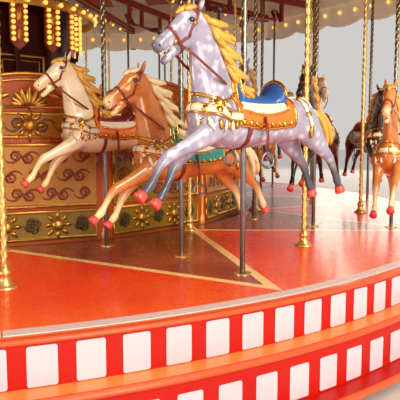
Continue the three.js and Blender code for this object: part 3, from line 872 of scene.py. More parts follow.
# Mane, forelock and tail are carved as separate flowing locks, thick at the root and drawn to a point.
def lock(root, flow, side, length, swell, curl, hold, seed, rows=9):
    """One lock: it leaves the root, drops over one side of the neck and curls at its end."""
    chance = random.Random(seed)
    turn = chance.uniform(-0.25, 0.25)
    points = []
    normals = []
    for i in range(rows):
        t = i / (rows - 1)
        wave = sin(t * pi * 1.7 + turn) * curl * t
        fall = side * 0.055 * sin(min(t * 2.0, 1) * pi / 2)
        place = root + flow * (length * t) + Vector((0.5 * wave, fall, -0.8 * wave))
        near, normal = hug(place, 0.011)
        if (place - near).dot(normal) < 0.0 or t < hold:
            place = near
        points.append(place)
        normals.append((normal * 0.6 + Vector((0, side if side else 0.2, 0.1))).normalized())
    shape = [swell * (0.5 + 0.8 * sin(pi * (0.15 + 0.8 * i / (rows - 1)))) for i in range(rows)]
    shape[-1] = swell * 0.1
    return ribbon(points, normals, shape, [w * 0.62 for w in shape])


def crest_place(t):
    """A point on top of the neck, t from 0 at the withers to 1 at the poll."""
    line = along(NECK[1:], 12)
    here = min(int(round(t * (len(line) - 1))), len(line) - 2)
    row, after = line[here : here + 2]
    forward = Vector((after[0] - row[0], 0, after[2] - row[2])).normalized()
    back = Vector((-forward.z, 0, forward.x))
    start = Vector((row[0], 0, row[2])) + back * 0.4
    place, _, _, _ = skin.ray_cast(start, -back)
    return place, back


LOCKS = 15
hair = []
for i in range(LOCKS):
    t = 0.02 + 0.98 * i / (LOCKS - 1)
    root, back = crest_place(t)
    blown = 0.3 + 0.45 * (i % 3) / 2
    flow = (back * blown + Vector((-0.1, 0, -0.8))).normalized()
    reach = 0.2 + 0.055 * sin(i * 2.1)
    hair.append(lock(root, flow, NEAR, reach + 0.03, 0.0215, 0.03, 0.28, 100 + i))
    hair.append(lock(root + back * 0.004, flow, FAR, reach, 0.0215, 0.026, 0.28, 200 + i, rows=8))
for side, reach in ((NEAR, 0.105), (0, 0.155), (FAR, 0.105)):
    start = Vector((0.4, side * 0.016, 0.714))
    flow = Vector((0.88, side * 0.1, -0.46)).normalized()
    hair.append(lock(start, flow, 0, reach, 0.02, 0.01, 0.9, 400 + side, rows=7))
TAIL = [
    ((-0.625, 0.0, 0.09), (-0.7, 0.0, 0.06), (-0.765, 0.0, -0.06), (-0.8, 0.0, -0.215)),
    ((-0.62, 0.018, 0.085), (-0.69, 0.034, 0.045), (-0.745, 0.04, -0.075), (-0.755, 0.03, -0.19)),
    ((-0.62, -0.018, 0.085), (-0.69, -0.034, 0.045), (-0.745, -0.04, -0.075), (-0.755, -0.03, -0.19)),
    ((-0.62, 0.012, 0.095), (-0.715, 0.016, 0.075), (-0.8, 0.02, -0.03), (-0.835, 0.012, -0.15)),
    ((-0.62, -0.012, 0.095), (-0.715, -0.016, 0.075), (-0.8, -0.02, -0.03), (-0.835, -0.012, -0.15))
]
for controls in TAIL:
    path = [Vector(row[:3]) for row in along([c + (0, 0) for c in controls], 3)]
    thick = [0.02 + 0.016 * sin(pi * i / (len(path) - 1)) for i in range(len(path))]
    thick[0], thick[-1] = 0.016, 0.004
    hair.append(ribbon(path, [Vector((0, 1, 0))] * len(path), [w * 0.8 for w in thick], thick, ring=7))


# Hooves, ears, eyes and teeth
def hoof(leg, side):
    """A flared hoof below the pastern, square to the leg."""
    a, b = (Vector((x, side * out, z)) for x, out, z, _, _ in leg[-2:])
    way = (b - a).normalized()
    out = Vector((0, 1, 0))
    fore = out.cross(way).normalized()
    rings = [(-0.006, 0.027, 0.028), (0.006, 0.031, 0.034), (0.04, 0.037, 0.043), (0.046, 0.035, 0.041)]
    vertices = [
        b + way * reach + out * wide * cos(a) + fore * deep * sin(a)
        for reach, wide, deep in rings
        for a in turns_of(14)
    ]
    return vertices, stack(len(rings), 14, ends_first=True)


def ear(side):
    """A pricked ear, laid back a little, hollowed on its front."""
    foot = Vector((0.385, side * 0.034, 0.69))
    tip = foot + Vector((-0.02, side * 0.022, 0.088))
    path = [foot.lerp(tip, t) for t in (0, 0.25, 0.55, 0.85, 1)]
    return ribbon(
        path, [Vector((1, side * 0.4, 0))] * 5, [0.014, 0.022, 0.02, 0.009, 0.002],
        [0.012, 0.01, 0.008, 0.006, 0.002]
    )


def ball(centre, radius, sides=12, rows=7):
    """A closed round bead."""
    profile = [(radius * sin(pi * i / rows), -radius * cos(pi * i / rows)) for i in range(1, rows)]
    return lathe(profile, sides, tuple(centre))


eyes = [ball((0.456, side * 0.049, 0.62), 0.018) for side in (NEAR, FAR)]
nostrils = [ball((0.672, side * 0.0345, 0.452), 0.0085, 8, 6) for side in (NEAR, FAR)]
eyelids = []
for side in (NEAR, FAR):
    rim = [(0.456 + 0.027 * cos(a), side * 0.064, 0.62 + 0.019 * sin(a)) for a in turns_of(8)]
    eyelids.append(strap(rim, 0.013, 0.006, lift=0.001, parts=2, closed=True))
teeth = []
for start, end in (((0.6, 0.449), (0.664, 0.401)), ((0.578, 0.426), (0.616, 0.396))):
    for i in range(5):
        t = (i + 0.5) / 5
        x, z = (a + (b - a) * t for a, b in zip(start, end))
        teeth += [ball((x, side * 0.018, z), 0.0075, 6, 4) for side in (NEAR, FAR)]
tongue = limb(
    [
        (0.5, 0, 0.478, 0.018, 0.01), (0.56, 0, 0.432, 0.02, 0.01), (0.61, 0, 0.398, 0.018, 0.007),
        (0.635, 0, 0.384, 0.008, 0.004)
    ],
    ring=10, parts=3
)


# Saddle and trappings
# Carved in the solid with the horse and picked out in gold leaf, cream and bright enamels: a fringed cloth
# under a double-ended saddle, breast and crupper straps with rosettes, a bridle, and iron stirrups.
def around(x, angle, lift=0.0):
    """A place on the barrel at x, the angle measured from the top of the back outwards."""
    way = Vector((0, sin(angle), cos(angle)))
    place, _, _, _ = skin.ray_cast(Vector((x, 0.0001, 0.0)) + way * 0.6, -way)
    return place + way * lift


def wrap(x_from, x_to, columns, reach, rows, lift):
    """A closed pad over the back, which hangs reach(x) radians to each side and is lift(x, s) thick."""
    top = []
    below = []
    for i in range(columns + 1):
        x = x_from + (x_to - x_from) * i / columns
        for j in range(rows + 1):
            s = 2 * j / rows - 1
            edge = i in (0, columns) or j in (0, rows)
            top.append(around(x, s * reach(x), 0.002 if edge else lift(x, s)))
            below.append(around(x, s * reach(x), -0.004))
    count = len(top)
    faces = []
    wide = rows + 1
    for i in range(columns):
        for j in range(rows):
            a = i * wide + j
            quad = (a, a + 1, a + 1 + wide, a + wide)
            faces += [quad, tuple(count + k for k in reversed(quad))]
    rim = list(range(wide)) + [i * wide + rows for i in range(1, columns + 1)]
    rim += [columns * wide + j for j in range(rows - 1, -1, -1)]
    rim += [i * wide for i in range(columns - 1, 0, -1)]
    for a, b in zip(rim, rim[1:] + rim[:1]):
        faces.append((a, b, b + count, a + count))
    return top + below, faces


CLOTH_BACK = -0.345
CLOTH_FRONT = 0.155
CLOTH_WAVES = 7


def cloth_reach(x):
    t = (x - CLOTH_BACK) / (CLOTH_FRONT - CLOTH_BACK)
    return 1.62 + 0.07 * abs(sin(pi * CLOTH_WAVES * t)) + 0.16 * sin(pi * t)


cloth = wrap(CLOTH_BACK, CLOTH_FRONT, 28, cloth_reach, 14, lambda x, s: 0.01)


def pad_reach(x):
    return 1.22 - 0.25 * abs((x + 0.085) / 0.2) ** 2


pad = wrap(-0.285, 0.115, 14, pad_reach, 10, lambda x, s: 0.022)


def seat_lift(x, s):
    cantle = 0.088 * exp(-(((x + 0.262) / 0.038) ** 2))
    pommel = 0.06 * exp(-(((x - 0.085) / 0.034) ** 2))
    return 0.034 + (cantle + pommel) * (1 - 0.55 * s * s) - 0.01 * s * s


seat = wrap(-0.3, 0.112, 22, lambda x: 0.8 - 0.2 * abs((x + 0.09) / 0.21) ** 3, 12, seat_lift)


def edge_cord(x_from, x_to, reach, width, depth, lift, count=40):
    """A rounded cord round the edge of a pad, in one closed run."""
    line = [(x_from + (x_to - x_from) * i / count, 1) for i in range(count + 1)]
    line += [(x_to, 1 - 2 * i / 12) for i in range(1, 12)]
    line += [(x_to + (x_from - x_to) * i / count, -1) for i in range(count + 1)]
    line += [(x_from, 2 * i / 12 - 1) for i in range(1, 12)]
    points = [around(x, s * reach(x), lift) for x, s in line]
    normals = [Vector((0, p.y, p.z)).normalized() for p in points]
    points.append(points[0])
    normals.append(normals[0])
    return ribbon(points, normals, [width / 2] * len(points), [depth] * len(points), ring=5)


gilt_trim = [
    edge_cord(
        CLOTH_BACK + 0.006, CLOTH_FRONT - 0.006, lambda x: cloth_reach(x) - 0.03, 0.022, 0.008, 0.006, 29
    ),
    edge_cord(-0.283, 0.113, pad_reach, 0.014, 0.008, 0.01, 16)
]
for x, lift, span in ((-0.262, 0.118, 0.62), (0.085, 0.09, 0.55)):
    arch = [around(x, span * (i / 8 - 1), lift * (1 - 0.45 * (i / 8 - 1) ** 2)) for i in range(17)]
    gilt_trim.append(band(arch, Vector((1, 0, 0)), 0.013, 0.013, 7))


def rosette(point, size, petals=6, lift=0.008):
    """A domed flower on the carving, with a ring of petals."""
    place, normal = hug(point, lift)
    spin = normal.to_track_quat("Z", "Y").to_matrix()
    sides = petals * 2
    rings = [(1.0, -0.18), (1.0, 0.02), (0.55, 0.08), (0.42, 0.24), (0.16, 0.34)]
    vertices = []
    for step, (r, h) in enumerate(rings):
        for k, a in enumerate(turns_of(sides)):
            scallop = 1 - (0.16 if k % 2 and step < 2 else 0)
            spot = Vector((r * scallop * cos(a), r * scallop * sin(a), h)) * size
            vertices.append(place + spin @ spot)
    return vertices, stack(len(rings), sides, ends_first=True)


def leaf(start, end, bend, width, lift=0.009):
    """A carved leaf lying on the horse, pointed at both ends and bowed sideways."""
    start, end = Vector(start), Vector(end)
    _, normal = hug((start + end) / 2, 0)
    side = normal.cross(end - start).normalized()
    steps = [i / 5 for i in range(6)]
    hugged = [hug(start.lerp(end, t) + side * bend * sin(pi * t), lift) for t in steps]
    points, normals = zip(*hugged)
    swell = [max(width * sin(pi * (0.08 + 0.84 * i / 5)) ** 0.8, 0.003) for i in range(6)]
    return ribbon(points, normals, swell, [w * 0.45 for w in swell], ring=5)


def on_side(side, points):
    """Points given as (x, out, z), on one side of the horse."""
    return [(x, side * out, z) for x, out, z in points]


CHIN = (0.474, 0.07, 0.512)
cream_trim = []
leather = []
for side in (NEAR, FAR):
    breast = on_side(
        side,
        [
            (0.13, 0.15, 0.04), (0.22, 0.155, 0.05), (0.32, 0.13, 0.07), (0.39, 0.085, 0.09),
            (0.43, 0.001, 0.1)
        ]
    )
    cream_trim.append(strap(breast, 0.052, 0.008, lift=0.008))
    for shift in (-0.03, 0.03):
        gilt_trim.append(strap([(x, y, z + shift) for x, y, z in breast], 0.013, 0.008, lift=0.008))
    for spot in on_side(side, [(0.235, 0.15, 0.052), (0.315, 0.13, 0.068), (0.38, 0.09, 0.086)]):
        gilt_trim.append(rosette(spot, 0.026, lift=0.014))
    hems = [
        (0.18, 0.155), (0.215, 0.155), (0.25, 0.15), (0.285, 0.14), (0.32, 0.128), (0.352, 0.11),
        (0.382, 0.09), (0.408, 0.06)
    ]
    for i, (x, y) in enumerate(hems):
        drop = 0.062 if i % 2 else 0.048
        top = 0.012 + 0.1 * max(x - 0.25, 0)
        tassel = leaf((x, side * y, top), (x - 0.002, side * y, top - drop), 0.0, 0.017)
        (cream_trim if i % 2 else gilt_trim).append(tassel)
    collar = on_side(
        side,
        [
            (0.15, 0.06, 0.185), (0.195, 0.1, 0.15), (0.27, 0.11, 0.14), (0.345, 0.07, 0.165),
            (0.385, 0.002, 0.19)
        ]
    )
    burst = Vector((0.292, side * 0.11, 0.118))
    gilt_trim += [strap(collar, 0.026, 0.009, lift=0.006), rosette(burst, 0.036, 8, lift=0.014)]
    for k, a in enumerate(turns_of(10, 0.5)):
        ray = Vector((cos(a), -side * 0.25 * cos(a), sin(a)))
        petal = leaf(burst + ray * 0.03, burst + ray * (0.074 if k % 2 else 0.062), 0.0, 0.014, 0.01)
        (cream_trim if k % 2 else gilt_trim).append(petal)
    crupper = on_side(
        side, [(-0.29, 0.04, 0.165), (-0.4, 0.06, 0.18), (-0.5, 0.045, 0.175), (-0.59, 0.015, 0.13)]
    )
    drop = on_side(side, [(-0.43, 0.06, 0.18), (-0.445, 0.14, 0.08), (-0.47, 0.16, -0.01)])
    cream_trim += [strap(crupper, 0.03, 0.007, lift=0.005), strap(drop, 0.028, 0.007, lift=0.006)]
    gilt_trim += [
        rosette((-0.43, side * 0.075, 0.17), 0.028, lift=0.01),
        rosette((-0.45, side * 0.15, 0.065), 0.024, lift=0.01),
        leaf((-0.468, side * 0.16, -0.005), (-0.478, side * 0.15, -0.09), 0.0, 0.019)
    ]
    for x in (-0.3, -0.24, 0.06, 0.12):
        gilt_trim.append(rosette(around(x, side * (cloth_reach(x) - 0.22)), 0.02, lift=0.013))
    for x in (-0.205, -0.135, -0.065, 0.005):
        a = cloth_reach(x) - 0.2
        ends = around(x - 0.026, side * a), around(x + 0.026, side * (a - 0.05))
        gilt_trim.append(leaf(*ends, 0.01, 0.013, 0.014))
    cheek = on_side(side, [CHIN, (0.452, 0.07, 0.58), (0.408, 0.062, 0.655), (0.395, 0.03, 0.705)])
    jaw_strap = on_side(side, [(0.54, 0.045, 0.47), (0.5, 0.055, 0.5), CHIN])
    leather += [strap(path, 0.02, 0.004, lift=0.004) for path in (cheek, jaw_strap)]
    gilt_trim += [
        rosette((0.432, side * 0.066, 0.602), 0.017, lift=0.006),
        rosette((0.552, side * 0.047, 0.47), 0.019, lift=0.008)
    ]
    rein = [
        (0.552, 0.056, 0.468), (0.48, 0.085, 0.42), (0.4, 0.1, 0.36), (0.28, 0.098, 0.285),
        (0.17, 0.06, 0.235), (0.09, 0.02, 0.23)
    ]
    free = [Vector(row[:3]) for row in along([p + (0, 0) for p in on_side(side, rein)], 4)]
    leather.append(band(free, Vector((0, side, 0.2)), 0.01, 0.004, 5))
NOSE_BAND = Vector((0.556, 0.0, 0.505))
NOSE_TILT = 0.62
nose_ring = [
    NOSE_BAND + 0.085 * Vector((cos(a) * sin(NOSE_TILT), sin(a), cos(a) * cos(NOSE_TILT)))
    for a in turns_of(10)
]
leather.append(strap(nose_ring, 0.022, 0.004, lift=0.004, parts=3, closed=True))
brow = [(0.41, 0.058, 0.662), (0.44, 0.03, 0.7), (0.445, 0, 0.705)]
brow += [(x, -y, z) for x, y, z in reversed(brow[:-1])]
leather.append(strap(brow, 0.02, 0.004, lift=0.004))
girth = [tuple(around(0.062, tau * k / 12 + 0.26)) for k in range(12)]
leather.append(strap(girth, 0.04, 0.005, lift=0.005, parts=3, closed=True))

irons = []
for side in (NEAR, FAR):
    hang = around(-0.055, side * 1.3, 0.022)
    foot = Vector((-0.045, side * 0.195, -0.19))
    path = [hang, hang.lerp(foot, 0.5) + Vector((0, side * 0.012, 0)), foot]
    leather.append(band(path, Vector((0, side, 0)), 0.013, 0.004, 5))
    # The iron is a bowed arch that a flat tread closes below.
    arch = []
    for k in range(14):
        a = tau * (k / 14) - pi / 2
        squash = 0.72 if sin(a) < -0.5 else 1.0
        arch.append(foot + Vector((0.05 * cos(a), 0, -0.054 + 0.056 * sin(a) * squash)))
    arch.append(arch[0] + Vector((0.004, 0, 0)))
    irons.append(band(arch, Vector((0, side, 0)), 0.01, 0.006, 5))


def coat(name, body, shade, points, dapple=0.0):
    """Gloss coach enamel over primed pine: brushed tone, dapples on a grey, and darker or paler legs."""
    material, tree, place = begin_material(name)
    tone = add(tree, "TexNoise", Vector=place, Scale=5.0, Detail=5.0, Roughness=0.6)
    spread = add(tree, "MapRange", Value=tone, From_Min=0.35, From_Max=0.68)
    base = add(tree, "Mix", Factor=spread, A=body, B=shade, data_type="RGBA")
    spots = add(tree, "TexVoronoi", Vector=place, Scale=16.0, Smoothness=0.6, feature="SMOOTH_F1")
    ringed = add(tree, "MapRange", Value=spots, From_Min=0.15, From_Max=0.45, To_Min=dapple, To_Max=0.0)
    dappled = add(tree, "Mix", Factor=ringed, A=base, B="#f3f0f6", data_type="RGBA")
    legs = add(tree, "Attribute", attribute_name="legs").outputs["Fac"]
    full = add(tree, "Mix", Factor=legs, A=dappled, B=points, data_type="RGBA")
    crackle = add(tree, "TexNoise", Vector=place, Scale=34.0, Detail=7.0, Roughness=0.7)
    gloss = add(tree, "MapRange", Value=crackle, From_Min=0.35, From_Max=0.75, To_Min=0.14, To_Max=0.42)
    ripple = add(tree, "Bump", Height=crackle, Strength=0.08, Distance=0.002)
    end_material(
        tree, Base_Color=full, Roughness=gloss, Normal=ripple, Coat_Weight=0.6, Coat_Roughness=0.08
    )
    return material


# The chestnut's cream points are partly painted highlight: pale socks that stand for the bright light on
# its lower legs.
COATS = [
    ("cream_coat", coat("cream_coat_enamel", "#f4e4c4", "#dcc192", "#f6dc98")),
    ("grey_coat", coat("dapple_grey_enamel", "#aea5bd", "#857e98", "#464a58", dapple=0.5)),
    ("chestnut_coat", coat("chestnut_enamel", "#df8b42", "#b4622a", "#f8e2a6")),
    ("black_coat", coat("black_coat_enamel", "#3a2822", "#1d1412", "#14100f"))
]
COAT_STEP = {"outer": 0, "middle": 1, "inner": 3}
mane_gold = enamel("carved_mane_gold", "#dfa83f", "#8f5c1e", roughness=0.3, coarse=22.0, wear_from=0.55)
mane_cream = enamel("carved_mane_cream", "#f0dcae", "#b08a52", roughness=0.3, coarse=22.0, wear_from=0.55)
hoof_red = enamel("hoof_red_enamel", "#e0544a", "#f0b8a8", coarse=18.0)
mouth_red = enamel("mouth_red_enamel", "#b02a22", "#7c2018")
glass_eye = enamel("black_glass_eye", "#16100e", "#16100e", roughness=0.05, coat=1.0)
trim_cream = enamel("cream_trim_enamel", "#f0e2c6", "#c9a878", wear_from=0.63)
gold_leaf = metal_material("gold_leaf_on_carving", "#ffcf66", "#c4802a", roughness=0.24, scale=40.0)
strap_brown = enamel("painted_strap_leather", "#7c2a1c", "#3d1a12", roughness=0.35, coarse=30.0)
SEATS = [
    enamel(f"saddle_{name}_enamel", *colours)
    for name, *colours in (
        ("red", "#c0241a", "#6e2018"), ("blue", "#2b5fa8", "#1d3a66"), ("green", "#1f7a4c", "#17492f"),
        ("maroon", "#7a1f2a", "#45141a")
    )
]
CLOTHS = [
    enamel(f"cloth_{name}_enamel", *colours)
    for name, *colours in (
        ("cream", "#f3e3c0", "#c9a878"), ("orange", "#f0762a", "#a8501f"), ("rose", "#d8486a", "#93304a"),
        ("turquoise", "#2f9c96", "#1f6461")
    )
]


def assemble(name, groups):
    """Joins groups of forms into one mesh, each group with its own material slot."""
    vertices, faces = joined([form for forms in groups for form in forms])
    data = mesh_data(name, vertices, faces)
    for _ in groups:
        data.materials.append(None)
    slots = [slot for slot, forms in enumerate(groups) for _, polygons in forms for _ in polygons]
    data.polygons.foreach_set("material_index", slots)
    data.polygons.foreach_set("use_smooth", [True] * len(faces))
    turn_out(data)
    return data


bare = ([tuple(v.co) for v in carving.vertices], [tuple(p.vertices) for p in carving.polygons])
hooves = [hoof(leg, side) for leg, side in LEGS]
body_template = assemble(
    "body_template", [[bare, ear(NEAR), ear(FAR)] + eyelids, hair, hooves, [tongue], teeth, eyes + nostrils]
)
tack_template = assemble("tack_template", [gilt_trim, cream_trim + [pad], [seat], [cloth], leather, irons])


def thinner(template, ratio):
    """A template with fewer faces."""
    return finished("carving_thinned", template.copy(), [("DECIMATE", {"ratio": ratio})])


def mark_legs(data):
    """Marks the lower legs and the muzzle, which are painted in their own colour."""
    spots = read_points(data)
    lower_leg = 1 - fade(spots[:, 2], -0.36, -0.2)
    muzzle = fade(spots[:, 0] - 0.6 * spots[:, 2], 0.3, 0.44) * (spots[:, 2] > 0.3)
    shading = data.attributes.new("legs", "FLOAT", "POINT")
    shading.data.foreach_set("value", np.clip(lower_leg + 0.8 * muzzle, 0, 1).astype(np.float32))


# The inner ranks are smaller and stand behind the outer ones, so their carvings have fewer faces.
FACES_KEPT = {"outer": 0.66, "middle": 0.5, "inner": 0.36}
carved_bodies = {rank: thinner(body_template, ratio) for rank, ratio in FACES_KEPT.items()}
carved_tack = {rank: thinner(tack_template, ratio) for rank, ratio in FACES_KEPT.items()}
for data in carved_bodies.values():
    mark_legs(data)


def place_horse(template, name, rank, row, materials):
    """A copy of a carving at its own place on the ride, with the place in its mesh."""
    x, y = rod_place(rank, row)
    lift = phase(rank, row)[1]
    where = Matrix.Translation((x, y, DECK_TOP + BARREL_ABOVE_DECK[rank] + lift))
    turn = Matrix.Rotation(row_angle(row) - pi / 2, 4, "Z")
    data = template.copy()
    data.name = name
    data.transform(where @ turn @ Matrix.Scale(HORSE_SIZE[rank], 4))
    for i, material in enumerate(materials):
        data.materials[i] = material
    return put_in_scene(name, data)


for rank, row in HORSES:
    i = RANKS.index(rank)
    label = f"horse_{rank}_{row + 1:02d}"
    body = f"horses_{phase(rank, row)[0]}"
    slot, coat_paint = COATS[(row + COAT_STEP[rank]) % 4]
    mane = mane_cream if slot == "chestnut_coat" and row % 2 else mane_gold
    paints = [coat_paint, mane, hoof_red, mouth_red, trim_cream, glass_eye]
    fit(place_horse(carved_bodies[rank], label + "_carving", rank, row, paints), body, slot, label)
    finishes = [
        gold_leaf, trim_cream, SEATS[(row + i) % 4], CLOTHS[(row + 2 * i) % 4], strap_brown, oiled_steel
    ]
    fit(place_horse(carved_tack[rank], label + "_trappings", rank, row, finishes), body, "gilt")


# Horse rods
# A solid drawn steel rod runs down through each horse. Above the saddle it is cased in barley-twist brass,
# below the belly it is bare and slides in its guide, and its head is forged into an eye on the crank pin.
ROD_R = 0.019
ROD_BELOW_DECK = 0.32
CRANK_Z = 3.85
CASE_START = 0.86 + 0.1
ARM_INSIDE = 0.0497
for name, angle in PHASES:
    lift = THROW * sin(angle)
    hung = [(rank, row) for rank, row in HORSES if phase(rank, row)[0] == name]
    case = grow(
        f"rod_cases_{name}", barley_twist,
        {
            "Length": CRANK_Z - 0.09 - DECK_TOP - CASE_START, "Radius": 0.0235, "Turns": 9.0, "Steps": 63,
            "Material": polished_brass
        },
        [(*rod_place(rank, row), DECK_TOP + CASE_START + lift) for rank, row in hung], smooth=True
    )
    fit(case, f"horses_{name}", "gilt")
    low = DECK_TOP - ROD_BELOW_DECK + lift
    high = CRANK_Z + lift
    bars = []
    eye = [(0.034, -ARM_INSIDE), (0.034, -0.028), (0.046, -0.024), (0.046, 0.024), (0.034, 0.028)]
    points, polygons = lathe([(r * 0.98, h) for r, h in eye] + [(0.033, ARM_INSIDE)], 18)
    for rank, row in hung:
        x, y = rod_place(rank, row)
        bars.append(
            lathe([(ROD_R - 0.003, low), (ROD_R, low + 0.003), (ROD_R, high - 0.02)], 14, (x, y, 0))
        )
        turn = Matrix.Translation((x, y, high)) @ Matrix.Rotation(row_angle(row) - pi / 2, 4, "Z")
        turn = turn @ Matrix.Rotation(pi / 2, 4, "X")
        bars.append(([turn @ Vector(p) for p in points], polygons))
    fit(gather(f"rods_{name}", bars, oiled_steel), f"horses_{name}", "steel")


# Centre panels
# Sixteen bays of framed boards stand round the centre, less one for a doorway, each cut to a low arch.
# They are painted like coach work in ochre and brown, with gilt mouldings and scrolls of carved pine.
PANEL_BAY = tau / 16
PANEL_START = radians(106.5)
PANEL_R = 3.38
PANEL_FACE = PANEL_R * cos(PANEL_BAY / 2)
PANEL_HALF = PANEL_R * sin(PANEL_BAY / 2)
PANEL_LOW = 0.7805
PANEL_SHOULDER = 2.12
PANEL_RISE = 0.16
PANEL_BAYS = (4, 4, 4, 3)
FIRST_BAYS = (0, 4, 8, 12)
BOARD_GAP = 0.02
BOARD_HALF_WIDTH = PANEL_HALF - BOARD_GAP
FIELD_HALF = PANEL_HALF - 0.09
ARCH_FOOT = 1.985
SCROLL_ROWS = (1.555, 1.39, 1.225)
FRIEZE_Z = 1.83
LOWER_Z = 0.95
LEAF_Z = 2.0
BEAD_Z = 1.695


def on_board(angle, face, u, z, out=0.0):
    """A place on an upright board that faces out at an angle, u to the left as seen from the centre."""
    return Vector((*beside(angle, face + out, u), z))


def bow(u_from, u_to, base, rise, count):
    """Points of a low arch over a straight line."""
    return [
        (u_from + (u_to - u_from) * t, base + rise * 4 * t * (1 - t))
        for t in (i / count for i in range(count + 1))
    ]


def cut_board(outline, angle, face, thick):
    """A flat board cut to an outline of (u, z) points, its front at face."""
    count = len(outline)
    points = [on_board(angle, face, u, z, out) for out in (0.0, -thick) for u, z in outline]
    faces = [tuple(range(count)), tuple(reversed(range(count, 2 * count)))]
    faces += [(i, i + count, (i + 1) % count + count, (i + 1) % count) for i in range(count)]
    return points, faces


def moulding(path, angle, face, width, depth, closed=True):
    """A half-round moulding on a board along (u, z) points, mitred at its corners."""
    flat = [Vector(p) for p in path]
    if closed:
        start = (flat[0] + flat[-1]) / 2
        flat = [start] + flat + [start]
    mitres = []
    for i, here in enumerate(flat):
        if i in (0, len(flat) - 1):
            mitres.append(1.0)
            continue
        turn = (here - flat[i - 1]).angle(flat[i + 1] - here, 0.0)
        mitres.append(1 / cos(turn / 2))
    out = Vector((cos(angle), sin(angle), 0))
    points = [on_board(angle, face, p.x, p.y) for p in flat]
    return ribbon(points, [out] * len(points), [width / 2 * m for m in mitres], [depth] * len(points))


def frame_path(half, low, high):
    return [(-half, low), (half, low), (half, high), (-half, high)]


# Small carvings are cut once and pinned in rows: each is drawn facing along X and turned into its place.
ornament, given = new_tree("ornament_rows", Shape="Object")
carved = add(ornament, "ObjectInfo", Object=given["Shape"]).outputs["Geometry"]
facing = add(
    ornament, "CombineXYZ", X=carried_by(ornament, "roll"), Y=carried_by(ornament, "pitch"),
    Z=carried_by(ornament, "spin")
)
pinned = add(
    ornament, "InstanceOnPoints", Points=given["Geometry"], Instance=carved, Rotation=facing,
    Scale=carried_by(ornament, "size")
)
close_tree(ornament, given, pinned)


def pin(spots, board, u, z, out, roll, size):
    """Notes the place of a small carving on a board, which is given as its angle and face."""
    spots.append((on_board(*board, u, z, out), board[0], roll, size))


def pin_rows(name, shape, material, spots, body, slot):
    """Pins a small carving at spots of (place, spin, roll, size), and a pitch if it faces up or down."""
    piece = grow(
        name, ornament, {"Shape": shape, "Material": material}, [s[0] for s in spots],
        spin=[s[1] for s in spots], roll=[s[2] for s in spots], size=[s[3] for s in spots],
        pitch=[s[4] if len(s) > 4 else 0.0 for s in spots]
    )
    fit(piece, body, slot)
    return piece


def flat_ribbon(path, widths, depth, ring=5):
    """A carved stroke facing along X, through (y, z) points."""
    points = [Vector((0, y, z)) for y, z in path]
    return ribbon(points, [Vector((1, 0, 0))] * len(points), widths, [depth] * len(points), ring)


def scroll_shape():
    """A running scroll one unit wide: an open spiral that runs out into a leaf."""
    path = []
    for i in range(10):
        a = tau * (1.35 - 1.35 * i / 9)
        r = 0.06 + 0.26 * (i / 9)
        path.append((0.12 + r * cos(a), 0.05 + r * sin(a)))
    path += [(0.2, -0.16), (-0.02, -0.3), (-0.28, -0.26), (-0.5, -0.05)]
    return [flat_ribbon(path, [0.06] * 6 + [0.08, 0.1, 0.11, 0.11, 0.1, 0.08, 0.05, 0.01], 0.05, 4)]


def leaf_shape():
    """A pointed leaf that stands up from its foot."""
    rows = [(0.0, 0.0), (0.0, 0.2), (0.02, 0.5), (0.04, 0.8), (0.05, 1.0)]
    return [flat_ribbon(rows, [0.05, 0.15, 0.2, 0.11, 0.01], 0.08)]


def turned_forward(profile, sides):
    """A turned form that faces along X."""
    points, polygons = lathe(profile, sides)
    return [Vector((z, x, y)) for x, y, z in points], polygons


def bead_shape(petals=0):
    """A round boss, with a ring of petals where it is a flower."""
    parts = [turned_forward([(0.5, -0.1), (0.46, 0.12), (0.2, 0.26)], 8)]
    for k in range(petals):
        a = tau * k / petals
        path = [((0.4 + 0.35 * t) * cos(a), (0.4 + 0.35 * t) * sin(a)) for t in (0, 1, 2)]
        parts.append(flat_ribbon(path, [0.12, 0.24, 0.03], 0.1, 4))
    return parts


scroll_carving = gather("scroll_carving", scroll_shape(), None)
leaf_carving = gather("leaf_carving", leaf_shape(), None)
flower_carving = gather("flower_carving", bead_shape(8), None)
bead_carving = gather("bead_carving", bead_shape(), None)
aged = {"roughness": 0.42, "coat": 0.05, "wear_from": 0.58, "specular": 0.25}
panel_ochre = enamel("panel_ochre_enamel", "#c98c3a", "#8a5424", **aged)
panel_brown = enamel("panel_orange_brown_enamel", "#b34c0a", "#6d3313", **aged)
panel_gold = enamel("panel_gold_brown_enamel", "#b87306", "#6d4310", **aged)
panel_olive = enamel("panel_olive_enamel", "#8d6a14", "#5f4214", **aged)
scroll_maroon = enamel("scroll_maroon_enamel", "#8a2f17", "#54190c", roughness=0.3)
olive_brown = enamel("dark_olive_enamel", "#5d4417", "#34260c", roughness=0.3)
worn_gilt = metal_material("worn_gilding", "#e9b455", "#a06a22", roughness=0.34, scale=24.0, metallic=0.85)
FIELDS = ((1.12, 1.66), (1.73, 1.93), (0.83, 1.07))
for quarter, (first, count) in enumerate(zip(FIRST_BAYS, PANEL_BAYS)):
    boards = []
    for bay in range(first, first + count):
        angle = PANEL_START + (bay + 0.5) * PANEL_BAY
        outline = [(-BOARD_HALF_WIDTH, PANEL_LOW), (BOARD_HALF_WIDTH, PANEL_LOW)]
        outline += bow(BOARD_HALF_WIDTH, -BOARD_HALF_WIDTH, PANEL_SHOULDER, PANEL_RISE, 16)
        boards.append(cut_board(outline, angle, PANEL_FACE, 0.035))
    fit(
        gather(f"centre_panels_{quarter + 1}_boards", boards, panel_brown, smooth=False), "centre",
        "panel_paint", f"centre_panels_{quarter + 1}"
    )
inlays = {"ochre": [], "gold": [], "olive": []}
FIELD_PAINTS = {"ochre": panel_ochre, "gold": panel_gold, "olive": panel_olive}
gilding = []
scrolls, dark_scrolls, leaves, flowers, beads = [], [], [], [], []
